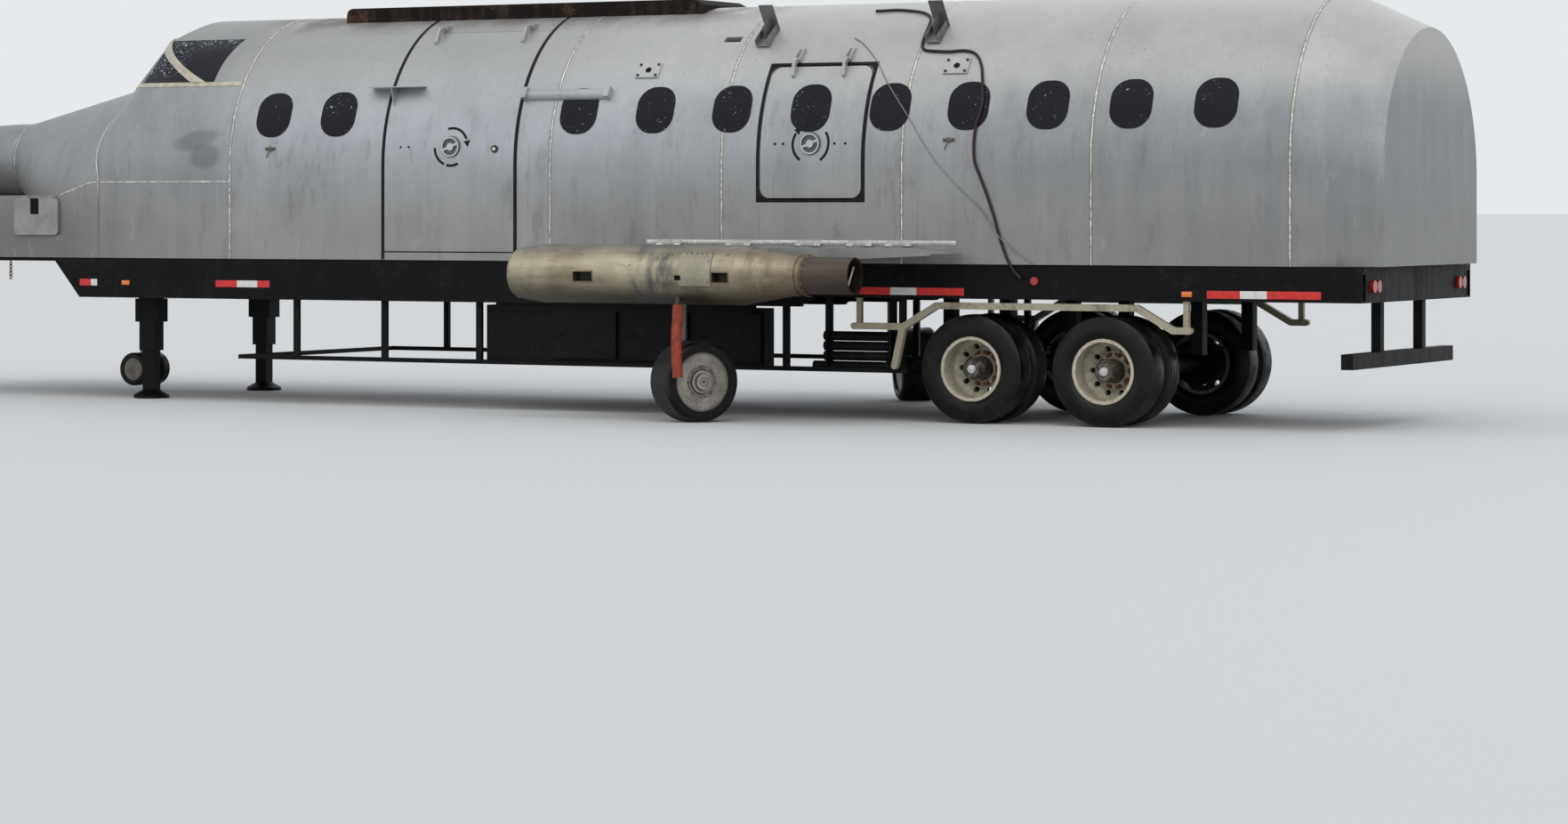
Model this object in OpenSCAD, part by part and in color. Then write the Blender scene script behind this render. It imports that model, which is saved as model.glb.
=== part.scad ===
// Aircraft fire trainer: a mock airliner fuselage on a drop-frame semi-trailer.
// Millimetres, nose towards -X, port side towards -Y, origin on the ground under the middle.

/* [Fuselage] */
// Width of the fuselage over its side plates
body_w = 2540; // [2300:10:2600]
// Thickness of a fuselage wall or door panel
wall = 40; // [30:5:50]
// Height of the skirt's lower edge
skirt_z = 1180; // [1160:5:1200]
// Height of the weld where the flat side turns into the round top
spring_z = 1920; // [1880:10:1960]
// Height of the flat ledge on top of the nose skirt
ledge_z = 1700; // [1660:10:1740]
// Length of one round-top section between two weld seams
bay = 1510; // [1480:10:1540]
// Place of the seam behind the cockpit
seam_x = -2683; // [-2750:1:-2600]
// Length of the section in front of the big door
fore_bay = 1486; // [1440:1:1530]
// Length of the big door's own section
door_bay = 1211; // [1150:1:1260]
// Length of the short ring behind the big door
short_bay = 322; // [300:1:360]

/* [Nose] */
// Distance from the ground origin to the nose tip
nose_tip = 7000; // [6900:10:7100]
// Radius of the round radome
radome_r = 335; // [300:5:360]
// Height of the radome's centre line
radome_z = 2000; // [1970:5:2030]
// Length of the rounded radome tip and its straight tube
radome_l = 1420; // [1300:10:1600]
// Radius in plan of the cockpit's bulged front
cockpit_r = 1750; // [1700:1:1800]
// Height where the cockpit's front starts to lean back
brow_z = 2130; // [2100:1:2180]
// Slope of the cockpit's front, run over rise
brow_slope = 0.75; // [0.7:0.01:0.8]
// Height where the front rounds over into the roof
crown_z = 3000; // [2960:1:3040]
// Slope over the crown, run over rise
crown_slope = 1.9; // [1.7:0.1:2.1]
// Front of the flat cockpit side plates
cockpit_x = -4008; // [-4100:1:-3950]

/* [Doors] */
// Height of the big door's sill
door_sill = 1240; // [1220:5:1300]
// Distance of the big door's hinge line from the centre
door_hinge_y = 645; // [620:5:680]
// Running gap around the doors
gap = 10; // [8:1:14]
// Front edge of the over-wing exit
exit_x = 2165; // [2120:5:2200]
// Width of the over-wing exit
exit_w = 865; // [820:5:900]
// Height of the exit's lower edge
exit_z = 1660; // [1640:5:1700]
// Height of the exit opening
exit_h = 1020; // [980:5:1040]
// Corner radius of the exit opening
exit_r = 90; // [60:5:120]
// Radius of a door's round handle plate
handle_r = 80; // [60:5:90]

/* [Stub wings and nacelles] */
// Front of the stub wing
wing_x = 1150; // [1100:5:1200]
// Chord of the stub wing
wing_chord = 2700; // [2600:10:2760]
// Span from the hinge to the outer edge
wing_span = 580; // [540:5:600]
// Height of the wing's top face
wing_z = 1300; // [1290:1:1310]
// Thickness of the wing box
wing_t = 85; // [70:5:100]
// Radius of a hinge barrel
barrel_r = 13; // [11:1:15]
// Radius of the hinge pin
pin_r = 6; // [4:1:7]
// Distance of the nacelle's centre line from the wing's outer edge
nacelle_out = 260; // [245:5:300]
// Height of the nacelle's centre line
nacelle_z = 1100; // [1080:5:1110]
// Radius of the nacelle's body
nacelle_r = 222; // [205:1:225]
// Front of the nacelle's inlet lip
nacelle_x = 538; // [500:1:580]
// Length of the nacelle's inlet lip
lip_l = 250; // [200:5:300]
// Length of the nacelle's straight body
nacelle_l = 1702; // [1600:1:1750]
// Length of the nacelle's tail cone
cone_l = 402; // [350:1:450]
// Length of the exhaust pipe
pipe_l = 483; // [400:1:520]
// Radius of the exhaust pipe
pipe_r = 137; // [120:1:150]
// Thickness of the nacelle's sheet
sheet = 10; // [6:1:14]
// Place of the main gear along the body
gear_x = 1978; // [1950:1:2010]
// Angle that the main gear wheels are turned out by
gear_turn = 55; // [0:1:60]
// Radius of a main gear tyre
gear_r = 302; // [290:1:310]
// Width of a main gear tyre
gear_w = 300; // [260:10:320]

/* [Running gear] */
// Radius of a road tyre
tyre_r = 405; // [395:1:410]
// Width of a road tyre
tyre_w = 235; // [220:5:245]
// Radius of the rim under the tyre bead
rim_r = 240; // [230:1:248]
// Place of the front trailer axle
axle_x = 3900; // [3850:5:3950]
// Distance between the two trailer axles
axle_gap = 1045; // [1000:5:1080]
// How far the outer tyre's face lies inside the body's side
wheel_inset = 20; // [5:5:30]
// Distance between the middles of a pair of tyres
dual = 300; // [290:5:315]
// Radius of a nose gear tyre
nose_gear_r = 142; // [130:1:160]
// Height of the nose gear's axle, which hangs clear of the ground
nose_gear_z = 205; // [190:1:220]
// Place of the nose gear along the body
nose_gear_x = -4430; // [-4500:5:-4400]

/* [Trailer] */
// Height of the lower edge of the main beams
beam_z = 850; // [830:5:870]
// Height of the lower edge of the beams over the wheels
rear_beam_z = 924; // [915:1:940]
// Height of the deck's underside
deck_z = 1140; // [1130:5:1145]
// Radius of the kingpin's neck, a two-inch pin
kingpin_r = 25.4; // [25:0.1:25.4]
// Place of the kingpin
kingpin_x = -6100; // [-6200:10:-6000]
// Front of the trailer and of the nose skirt
front_x = -6650; // [-6700:10:-6600]
// Rear end of the deck
rear_x = 6900; // [6850:10:6950]
// Place of the landing legs
leg_x = -3760; // [-3800:5:-3700]
// Distance between two crossmembers
cross_gap = 760; // [740:5:770]
// Height of the low rail of the belly frame
belly_z = 361; // [350:1:380]
// Side of the belly frame's tube
belly_t = 35; // [30:5:45]
// Side of the fender's square tube
fender_t = 50; // [40:5:60]

/* [Hidden] */
$fn = 72;

steel = "#969a9c";
soot = "#3a332c";
black = "#1c1c1f";
tan = "#b5ac92";
rubber = "#1d1d1f";
cream = "#d7cdb4";
half = body_w / 2;
wheel_out = half - wheel_inset;
axle_end = wheel_out - tyre_w - dual - 15;
nacelle_y = half + wing_span + nacelle_out;
door_x0 = seam_x + fore_bay;
door_x1 = door_x0 + door_bay;
ring_x = door_x1 + short_bay;
tail_x = ring_x + 4 * bay;
seat = 0.3;

// Extrudes a profile drawn in Y and Z along X.
module along_x(x0, x1) {
    translate([x0, 0, 0]) rotate([90, 0, 90]) linear_extrude(x1 - x0) children();
}

// Extrudes a profile drawn in X and Z along Y.
module across_y(y0, y1) {
    translate([0, y1, 0]) rotate([90, 0, 0]) linear_extrude(y1 - y0) children();
}

// A round bar along Y.
module rod_y(x, y0, y1, z, r) {
    translate([x, y0, z]) rotate([-90, 0, 0]) cylinder(h = y1 - y0, r = r);
}

// A round bar along X.
module rod_x(x0, x1, y, z, r) {
    translate([x0, y, z]) rotate([0, 90, 0]) cylinder(h = x1 - x0, r = r);
}

// Copies a port-side piece to the starboard side.
module starboard() {
    mirror([0, 1, 0]) children();
}

module both_sides() {
    children();
    starboard() children();
}

// A box given by its low and high corners.
module block(low, high) {
    translate(low) cube(high - low);
}

// A flat strip along a row of points in a plane, with round corners and ends.
module strip(points, w) {
    for (p = points) translate(p) circle(d = 0.96 * w, $fn = 32);
    for (i = [0:len(points) - 2]) {
        d = points[i + 1] - points[i];
        translate(points[i]) rotate(atan2(d[1], d[0])) translate([0, -w / 2]) square([norm(d), w]);
    }
}

module rounded_rect(low, high, r) {
    translate([low[0] + r, low[1]]) square([high[0] - low[0] - 2 * r, high[1] - low[1]]);
    translate([low[0], low[1] + r]) square([high[0] - low[0], high[1] - low[1] - 2 * r]);
    for (x = [low[0] + r, high[0] - r], z = [low[1] + r, high[1] - r]) translate([x, z]) circle(r);
}

// Cross-section of the fuselage, flat sides under a round top.
module body_profile(inset, drop = 0) {
    translate([inset - half, skirt_z - drop]) square([body_w - 2 * inset, spring_z - skirt_z + drop]);
    intersection() {
        translate([0, spring_z]) circle(half - inset, $fn = 180);
        translate([-half, spring_z - 1]) square([body_w, half + 2]);
    }
}

module shell_profile() {
    difference() {
        body_profile(0);
        body_profile(wall, 1);
    }
}

// Distance of the outer skin from the middle at a height.
function skin_y(z) = z < spring_z ? half : sqrt(half * half - (z - spring_z) * (z - spring_z));

// Height of the outer skin at a distance from the middle.
function skin_z(y) = spring_z + sqrt(half * half - y * y);

// Main beams of the trailer, with the raised neck at the front.
neck_top = 1400;
neck_step = -4210;
neck_slope = 276;
neck_end = -3900;
beam_rise = 2500;
beam_y = 480;
flange_w = 120;
flange_t = 16;
web_t = 12;

module beam_side() {
    polygon([
        [front_x + 60, skirt_z], [front_x + 60, neck_top], [neck_end, neck_top], [neck_end, deck_z],
        [rear_x - 100, deck_z], [rear_x - 100, rear_beam_z], [beam_rise + 150, rear_beam_z],
        [beam_rise, beam_z], [neck_step, beam_z], [neck_step - neck_slope, skirt_z]
    ]);
}

module main_beam() {
    translate([0, -beam_y, 0]) {
        across_y(-web_t / 2, web_t / 2) beam_side();
        across_y(-flange_w / 2, flange_w / 2) {
            translate([front_x + 60, neck_top - flange_t]) square([neck_end - front_x - 60, flange_t]);
            translate([neck_step, beam_z]) square([beam_rise - neck_step, flange_t]);
            translate([beam_rise + 150, rear_beam_z]) square([rear_x - 250 - beam_rise, flange_t]);
            translate([neck_end, deck_z - flange_t]) square([rear_x - 100 - neck_end, flange_t]);
        }
    }
}

module main_beams() {
    color(black) both_sides() main_beam();
}

cross_xs = [for (i = [0:13]) leg_x + 50 + i * cross_gap];
cross_z = deck_z - 100;

module crossmembers() {
    y_in = beam_y - web_t / 2;
    y_out = half - 95;
    color(black) for (x = cross_xs) {
        block([x - 25, -y_in, deck_z - 120], [x + 25, y_in, deck_z - flange_t]);
        both_sides() block([x - 25, -y_out, cross_z], [x + 25, -y_in - web_t, deck_z - flange_t]);
    }
    color(black) block([rear_x - 100, -y_out, rear_beam_z], [rear_x, y_out, deck_z]);
}

rail_t = 80;

// Outer channel under the skirt, with its web outside and its flanges turned inwards.
module side_rail() {
    y0 = half - 15;
    across_y(-y0, -y0 + 10) polygon([
        [neck_step, beam_z], [beam_rise, beam_z], [beam_rise + 150, rear_beam_z], [rear_x, rear_beam_z],
        [rear_x, skirt_z], [neck_step - neck_slope, skirt_z]
    ]);
    across_y(-y0 + 10, -y0 + rail_t) {
        translate([neck_step, beam_z]) square([beam_rise - neck_step, 12]);
        translate([beam_rise + 150, rear_beam_z]) square([rear_x - beam_rise - 150, 12]);
        translate([neck_step - 200, deck_z - 12]) square([rear_x - neck_step + 200, 12]);
    }
}

module side_rails() {
    color(black) both_sides() side_rail();
}

module deck() {
    y0 = half - wall - 5;
    color(black) block([neck_end, -y0, deck_z], [rear_x, y0, skirt_z]);
}

// The rubbing plate under the neck, with its kingpin.
module coupler_plate() {
    plate_t = 30;
    color(black) {
        difference() {
            block(
                [front_x + 30, -half + 60, skirt_z - plate_t],
                [neck_step - neck_slope, half - 60, skirt_z]
            );
            for (y = [-450, 450]) translate([kingpin_x - 250, y, 0]) cylinder(h = 2000, r = 20);
        }
        translate([kingpin_x, 0, skirt_z - plate_t]) mirror([0, 0, 1]) {
            cylinder(h = 16, r = 55);
            cylinder(h = 84, r = kingpin_r);
            translate([0, 0, 52]) cylinder(h = 32, r = 35.7);
        }
    }
}

leg_y = beam_y + 370;

module landing_leg() {
    translate([leg_x, -leg_y, 0]) {
        block([-75, -80, beam_z - 40], [75, 80, cross_z - seat]);
        block([-110, -80, 640], [110, 80, beam_z - 15]);
        block([-75, -70, 400], [75, 70, 640]);
        block([-55, -52, 66], [55, 52, 400]);
        difference() {
            translate([0, 0, 26]) cylinder(h = 45, r1 = 150, r2 = 70);
            translate([0, 0, 60]) cylinder(h = 20, r = 45);
        }
        cylinder(h = 26, r = 150);
    }
}

module landing_legs() {
    color(black) both_sides() landing_leg();
}

belly_x0 = -2648;
belly_x1 = 3367;
belly_y = half - 75;

// Height of the underside of the trailer's edge at a place along it.
function edge_z(x) = x < beam_rise ? beam_z : rear_beam_z;

module belly_side() {
    y0 = -belly_y;
    block([belly_x0, y0, belly_z], [belly_x1, y0 + belly_t, belly_z + belly_t]);
    for (x = [belly_x0 + 540, -1265, -380, 2330, 3300]) {
        block([x, y0, belly_z + belly_t], [x + 50, y0 + belly_t, edge_z(x) - seat]);
    }
    block([belly_x0, y0 + belly_t, belly_z], [belly_x0 + belly_t, 0, belly_z + belly_t]);
    block([belly_x1 - belly_t, y0 + belly_t, belly_z], [belly_x1, 0, belly_z + belly_t]);
}

module belly_frame() {
    color(black) both_sides() belly_side();
}

box_x0 = -300;
box_d = 160;
box_door_w = 560;

// A row of shallow steel cabinets behind the low rail, with their doors, hung from the side rail.
module cabinets(count) {
    x1 = box_x0 + 570 + count * 630;
    y0 = -belly_y + belly_t + seat;
    block([box_x0, y0, belly_z + 5], [x1, y0 + box_d, beam_z - 20]);
    for (i = [0:count - 1]) {
        x = box_x0 + 620 + i * 630;
        block([x, -belly_y + 8, belly_z + 60], [min(x + box_door_w, x1 - 20), y0 + 1, beam_z - 60]);
        rod_x(x + 30, x + 90, -belly_y + 8, (belly_z + beam_z) / 2, 9);
    }
    block([box_x0 + 100, -belly_y + 8, beam_z - 60], [x1 - 100, y0 + 60, beam_z - seat]);
}

module equipment_boxes() {
    color(black) {
        cabinets(3);
        starboard() cabinets(1);
    }
}

rack_x0 = 2560;
rack_tube_r = 36;

// Four tubes lying over each other at the rear end of the belly frame, in two carrying plates.
module pipe_rack() {
    y = -belly_y + 80;
    z0 = belly_z + 44;
    color(black) both_sides() difference() {
        union() {
            rod_x(rack_x0, belly_x1 - 80, y, z0, rack_tube_r);
            for (i = [1:3]) rod_x(rack_x0 + 90, belly_x1 - 80, y, z0 + i * 75, rack_tube_r);
            for (x = [rack_x0 + 130, 3220])
                block([x, -belly_y, belly_z + belly_t + seat], [x + 12, -belly_y + 118, edge_z(x) - seat]);
        }
        for (i = [0:3]) rod_x(rack_x0 - 1, belly_x1, y, z0 + i * 75, rack_tube_r - 5);
    }
}

spring_y = axle_end - 170;
spring_w = 75;

// One pack of leaves over an axle, thicker in the middle, with its hangers.
module leaf_pack(x) {
    z0 = tyre_r + axle_r + seat;
    across_y(-spring_y - spring_w / 2, -spring_y + spring_w / 2) {
        for (i = [0:3]) translate([x - 430 + i * 90, z0 + i * 12 + 60 - i * 14]) square([860 - i * 180, 12]);
        translate([x - 60, z0]) square([120, 66]);
    }
}

module suspension() {
    color(black) both_sides() {
        for (x = [axle_x, axle_x + axle_gap]) leaf_pack(x);
        for (x = [axle_x - 470, axle_x + axle_gap / 2, axle_x + axle_gap + 470]) {
            block([x - 45, -spring_y - 50, tyre_r + 110], [x + 45, -spring_y + 50, rear_beam_z - seat]);
        }
    }
}

hub_bore = 40;
axle_r = 64;

module axle(x) {
    rod_y(x, -axle_end, axle_end, tyre_r, axle_r);
    rod_y(x, -wheel_out + 70, wheel_out - 70, tyre_r, hub_bore - 0.05);
    both_sides() rod_y(x, -axle_end + 10, -axle_end + 40, tyre_r, 170);
}

module axle_front() {
    color(black) axle(axle_x);
}

module axle_rear() {
    color(black) axle(axle_x + axle_gap);
}

fender_z = 846;
fender_y = half - fender_t;

// The bent square tube over the wheels of one side.
module fender() {
    end_x = axle_x + axle_gap + 550;
    pts = [
        [2960, 712], [axle_x - 533, 712], [axle_x - 266, fender_z + fender_t / 2],
        [end_x - 280, fender_z + fender_t / 2], [end_x, 712], [end_x + 120, 712]
    ];
    across_y(-fender_y - fender_t, -fender_y) {
        strip(pts, fender_t);
        strip([[axle_x - 540, 705], [axle_x - 606, belly_z + belly_t + 20]], fender_t);
    }
    for (x = [2990, end_x + 90]) {
        block([x - 20, -fender_y - 20, 712], [x + 20, -fender_y + 20, rear_beam_z - seat]);
    }
}

module fenders() {
    color(tan) both_sides() fender();
}

module rear_bumper() {
    color(black) {
        block([rear_x - 190, 120 - half, 450], [rear_x - 100, half - 120, 560]);
        both_sides()
            block([rear_x - 180, -beam_y - 40, 560], [rear_x - 110, 40 - beam_y, rear_beam_z - seat]);
    }
}

module lamps() {
    color("#b3301f") both_sides() {
        for (d = [230, 330])
            rod_x(rear_x + seat, rear_x + 25, d - half, (rear_beam_z + skirt_z) / 2 - 12, 45);
        rod_y(axle_x + axle_gap / 2, -half - 5, 15 - half, 1060, 30);
    }
}

cockpit_c = cockpit_x + sqrt(cockpit_r * cockpit_r - half * half);
brow_round = 700;
top_z = spring_z + half;

// Half outline of the cockpit's bulged front: upright, leaning back from the brow, then over the crown.
function front_outline(inset) = let (
    lean = atan(brow_slope),
    start = brow_z - brow_round * tan(lean / 2),
    crown_r = cockpit_r - brow_slope * (crown_z - brow_z),
    r = cockpit_r - inset
) concat(
    [[0, skirt_z - 100], [r, skirt_z - 100]],
    [for (k = [0:5]) let (a = lean * k / 5) [
        r - brow_round * (1 - cos(a)), start + brow_round * sin(a)
    ]],
    [[crown_r - inset, crown_z], [crown_r - inset - crown_slope * (top_z + 10 - crown_z), top_z + 10]],
    [[0, top_z + 10]]
);

// The room behind the cockpit's bulged front and between its flat sides.
module cockpit_plan(inset) {
    translate([cockpit_c, 0, 0]) rotate_extrude($fn = 180) polygon(front_outline(inset));
    block([cockpit_c, -half - 100, skirt_z - 100], [seam_x + 100, half + 100, top_z + 10]);
}

module cockpit_shell() {
    bulge_x = cockpit_c - cockpit_r - 10;
    color(steel) difference() {
        intersection() {
            along_x(bulge_x, seam_x) body_profile(0);
            cockpit_plan(0);
        }
        intersection() {
            along_x(bulge_x, seam_x + 1) body_profile(wall, 1);
            cockpit_plan(wall);
        }
        block([bulge_x - 1, -half - 1, skirt_z - 1], [cockpit_x + seat, half + 1, ledge_z]);
    }
}

joint_x = radome_l - nose_tip;
cowl_r = half + 130;
cowl_z = ledge_z - 400;
cheek_l = 405;
cheek_h = 115;

// The radome and the flared cowl behind it, standing on the ledge, with a cheek down each flat side.
module nose_cone() {
    color(steel) difference() {
        union() {
            translate([joint_x, 0, radome_z]) rotate([0, -90, 0]) rotate_extrude() polygon(concat(
                [[0, -1], [radome_r, -1]],
                [for (a = [0:7.5:82.5]) [radome_r * cos(a), radome_l * sin(a)]],
                [[0.06 * radome_r, radome_l], [0, radome_l]]
            ));
            hull() {
                translate([joint_x, 0, radome_z]) rotate([0, 90, 0]) cylinder(h = 5, r = radome_r);
                translate([cockpit_x, 0, cowl_z]) rotate([0, 90, 0]) cylinder(h = 1, r = cowl_r, $fn = 120);
            }
            both_sides() across_y(-half, -half + 140) polygon([
                [cockpit_x - cheek_l, ledge_z - 10], [cockpit_x - cheek_l, ledge_z],
                [cockpit_x - 0.2 * cheek_l, ledge_z + 0.9 * cheek_h], [cockpit_x + 1, ledge_z + cheek_h],
                [cockpit_x + 1, ledge_z - 10]
            ]);
        }
        block([-nose_tip - 1, -2 * cowl_r, ledge_z - 2 * cowl_r], [cockpit_x + 2, 2 * cowl_r, ledge_z]);
        both_sides() block([joint_x, -2 * cowl_r, ledge_z - 1], [cockpit_x + 2, -half, cowl_z + 2 * cowl_r]);
        cockpit_plan(-1.2);
    }
}

// The flat-sided box under the nose, with its ledge on top.
module nose_skirt() {
    r = 300;
    t = 12;
    color(steel) {
        difference() {
            translate([0, 0, skirt_z]) linear_extrude(ledge_z - skirt_z) skirt_plan(0, r);
            translate([0, 0, skirt_z - 1]) linear_extrude(ledge_z - skirt_z - t + 1) skirt_plan(t, r);
            block([cockpit_x - 1, -half + t, skirt_z - 1], [cockpit_x + 1, half - t, ledge_z - t]);
            across_y(-half - 1, -half + t + 1)
                rounded_rect([hatch_x0 + 30, hatch_z0 + 30], [hatch_x1 - 30, hatch_z1 - 34], 20);
        }
        hatch_coaming();
    }
}

module skirt_plan(inset, r) {
    translate([front_x + r, inset - half]) square([cockpit_x - front_x - r, body_w - 2 * inset]);
    translate([front_x + inset, r - half]) square([cockpit_x - front_x - inset, body_w - 2 * r]);
    for (s = [-1, 1]) translate([front_x + r, s * (half - r)]) circle(r - inset);
}

module fore_shell() {
    color(steel) along_x(seam_x, door_x0) shell_profile();
}

// Where the big door leaves the shell open, or with a gap what the door fills.
module door_space(g) {
    block([door_x0 - 1 + g, -half - 10, door_sill + g], [door_x1 + 1 - g, -door_hinge_y - g, 3300]);
}

module door_shell() {
    color(steel) difference() {
        along_x(door_x0, door_x1) shell_profile();
        door_space(0);
    }
}

// Stands children on the port skin at a place and height, with -Y pointing out of it.
module on_side(x, z) {
    translate([x, -skin_y(z), z]) rotate([-atan2(z - spring_z, skin_y(z)), 0, 0]) children();
}

slot_x = 1713;
slot_z = 2900;

module middle_shell() {
    color(steel) {
        along_x(door_x1, ring_x) shell_profile();
        difference() {
            along_x(ring_x, ring_x + bay) shell_profile();
            on_side(slot_x, slot_z) block([-72, -wall, -32], [72, wall + 60, 32]);
        }
    }
}

module exit_space(g) {
    across_y(-half - 20, -half + 420)
        rounded_rect([exit_x + g, exit_z + g], [exit_x + exit_w - g, exit_z + exit_h - g], exit_r - g);
}

module exit_shell() {
    color(steel) difference() {
        along_x(ring_x + bay, ring_x + 2 * bay) shell_profile();
        both_sides() exit_space(0);
    }
}

module aft_shells() {
    color(steel) {
        along_x(ring_x + 2 * bay, ring_x + 3 * bay) shell_profile();
        along_x(ring_x + 3 * bay, tail_x) shell_profile();
    }
}

// The last section, which draws in to a flat end.
module tail_shell() {
    k = 0.86;
    color(steel) difference() {
        hull() {
            along_x(tail_x, tail_x + 2) body_profile(0);
            along_x(nose_tip - 2, nose_tip)
                translate([0, skirt_z]) scale(k) translate([0, -skirt_z]) body_profile(0);
        }
        hull() {
            along_x(tail_x - 1, tail_x + 1) body_profile(wall, 5);
            along_x(nose_tip - wall - 1, nose_tip - wall)
                translate([0, skirt_z]) scale(k) translate([0, -skirt_z]) body_profile(wall, 5);
        }
    }
}

burner_x0 = -2100;
burner_x1 = 1240;
burner_y = 400;
burner_t = 8;
burner_h = 55;

// The open steel pan that holds the fire, with a rolled front end, curved to sit on the roof.
module roof_burner() {
    rim_z = top_z + burner_h;
    low = skin_z(burner_y) - 20;
    r = 60;
    color(soot) difference() {
        across_y(-burner_y, burner_y) {
            polygon([
                [burner_x0 + r, low], [burner_x0 + r, rim_z], [burner_x1 - 90, rim_z],
                [burner_x1, rim_z - 45], [burner_x1, low]
            ]);
            translate([burner_x0 + r, rim_z - r]) circle(r);
            translate([burner_x0, low]) square([2 * r, rim_z - r - low]);
        }
        difference() {
            block(
                [burner_x0 + 2 * r, -burner_y + burner_t, low],
                [burner_x1 - 100, burner_y - burner_t, rim_z + 1]
            );
            along_x(burner_x0, burner_x1) body_profile(-seat - burner_t);
        }
        along_x(burner_x0 - 1, burner_x1 + 1) body_profile(-seat);
    }
}

scoop_xs = [2010, 3440];
plate_spots = [[1090, 2660], [3705, 2650]];

// A curved channel with a gusset that stands on the shoulder of the roof.
module roof_scoop(x) {
    y0 = 760;
    translate([x, -y0, skin_z(y0)]) rotate([36, 0, 0]) {
        block([-60, -170, seat], [60, 60, 9]);
        for (s = [-54, 46]) block([s, -170, 9], [s + 8, 60, 60]);
        block([-60, 52, 9], [60, 60, 230]);
        across_y(-90, 52) polygon([[-4, 9], [4, 9], [4, 120], [-4, 120]]);
    }
}

stay_x0 = 60;
stay_x1 = 800;
stay_z = 2480;

// A half-round cover that lies along the skin behind the big door, with a block at each end.
module stay_cover() {
    along_x(stay_x0, stay_x1) difference() {
        translate([-skin_y(stay_z), stay_z]) circle(47);
        body_profile(-seat);
    }
    for (x = [stay_x0 - 22, stay_x1 - 22]) difference() {
        on_side(x, stay_z) block([0, -62, -45], [44, 40, 45]);
        along_x(x - 1, x + 45) body_profile(-seat);
    }
}

module roof_fittings() {
    color(steel) {
        for (x = scoop_xs) roof_scoop(x);
        for (p = plate_spots) on_side(p[0], p[1]) difference() {
            block([-100, -12, -70], [100, -seat, 70]);
            rod_y(0, -20, 20, 0, 26);
            for (x = [-78, 78], z = [-50, 50]) rod_y(x, -20, 20, z, 7);
        }
        stay_cover();
    }
}

handle_z = 2080;

// A round plate with a turned recess and a bar across it.
module handle(x) {
    y0 = skin_y(handle_z);
    difference() {
        rod_y(x, -y0 - 22, -y0 + 20, handle_z, handle_r);
        rod_y(x, -y0 - 23, -y0 - 8, handle_z, handle_r - 12);
    }
    rod_y(x, -y0 - 20, -y0 - 6, handle_z, 30);
    across_y(-y0 - 20, -y0 - 7)
        strip([[x - handle_r + 20, handle_z - 24], [x + handle_r - 20, handle_z + 24]], 18);
}

door_pin_y = door_hinge_y + 8;
door_pin_z = skin_z(door_hinge_y) + 32;
door_hinge_xs = [door_x0 + 200, door_x1 - 200];
exit_pin_z = exit_z + exit_h + 45;
exit_pin_y = skin_y(exit_pin_z) + 30;
exit_hinge_xs = [exit_x + 202, exit_x + 626];
arm_w = 36;
arm_t = 24;

// A bent arm on a panel, which holds the moving eye of its hinge.
module hinge_arm(x, y, z, elbow, foot) {
    along_x(x - arm_t / 2, x + arm_t / 2) difference() {
        strip([[-y, z], elbow, foot], arm_w);
        translate([-y, z]) circle(pin_r + 0.05);
        body_profile(wall / 2);
    }
}

// Two ears on the shell and the pin that the arm turns on.
module hinge_ears(x, y, z, foot) {
    for (s = [-1, 1]) translate([s * (arm_t / 2 + 8), 0, 0]) along_x(x - 5, x + 5) difference() {
        strip([[-y, z], foot], arm_w);
        body_profile(0);
    }
    rod_x(x - arm_t / 2 - 12, x + arm_t / 2 + 12, -y, z, pin_r);
}

door_foot_y = door_pin_y + 125;
exit_foot_z = exit_pin_z - 120;

module hinge_brackets() {
    color(steel) {
        for (x = door_hinge_xs)
            hinge_ears(x, door_pin_y, door_pin_z, [-door_pin_y + 65, skin_z(door_pin_y - 65) + 4]);
        both_sides() for (x = exit_hinge_xs)
            hinge_ears(x, exit_pin_y, exit_pin_z, [-skin_y(exit_pin_z + 70) - 2, exit_pin_z + 70]);
    }
}

shelf_z = 2560;
shelf_w = 500;
shelf_t = 8;

// A ledge over the door's front edge, with a gusset under it, that also laps over the shell in front.
module door_shelf() {
    x0 = door_x0 - 200;
    y1 = skin_y(shelf_z) + 120;
    along_x(door_x0 + 34, door_x0 + 42) difference() {
        polygon([
            [-y1, shelf_z], [-skin_y(shelf_z) + 20, shelf_z], [-skin_y(shelf_z - 180) + 20, shelf_z - 180]
        ]);
        body_profile(wall / 2);
    }
    difference() {
        block([x0, -y1, shelf_z], [x0 + shelf_w, -skin_y(shelf_z) + 20, shelf_z + shelf_t]);
        along_x(x0 - 1, door_x0 + gap + 1) body_profile(-8);
        along_x(door_x0, x0 + shelf_w + 1) body_profile(wall / 2);
    }
}

// The tall curved panel that swings up from the roof.
module big_door() {
    color(steel) {
        intersection() {
            along_x(door_x0, door_x1) shell_profile();
            door_space(gap);
        }
        handle(door_x0 + 626);
        door_shelf();
        for (x = door_hinge_xs) hinge_arm(
            x, door_pin_y, door_pin_z, [-door_pin_y - 70, door_pin_z - 14],
            [-door_foot_y, skin_z(door_foot_y) + 8]
        );
    }
}

module exit_panel() {
    intersection() {
        along_x(exit_x, exit_x + exit_w) shell_profile();
        exit_space(gap);
    }
    handle(exit_x + exit_w / 2);
    for (x = exit_hinge_xs) hinge_arm(
        x, exit_pin_y, exit_pin_z, [-exit_pin_y - 52, exit_pin_z - 22],
        [-skin_y(exit_foot_z) - 10, exit_foot_z]
    );
}

module exit_left() {
    color(steel) exit_panel();
}

module exit_right() {
    color(steel) starboard() exit_panel();
}

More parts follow.
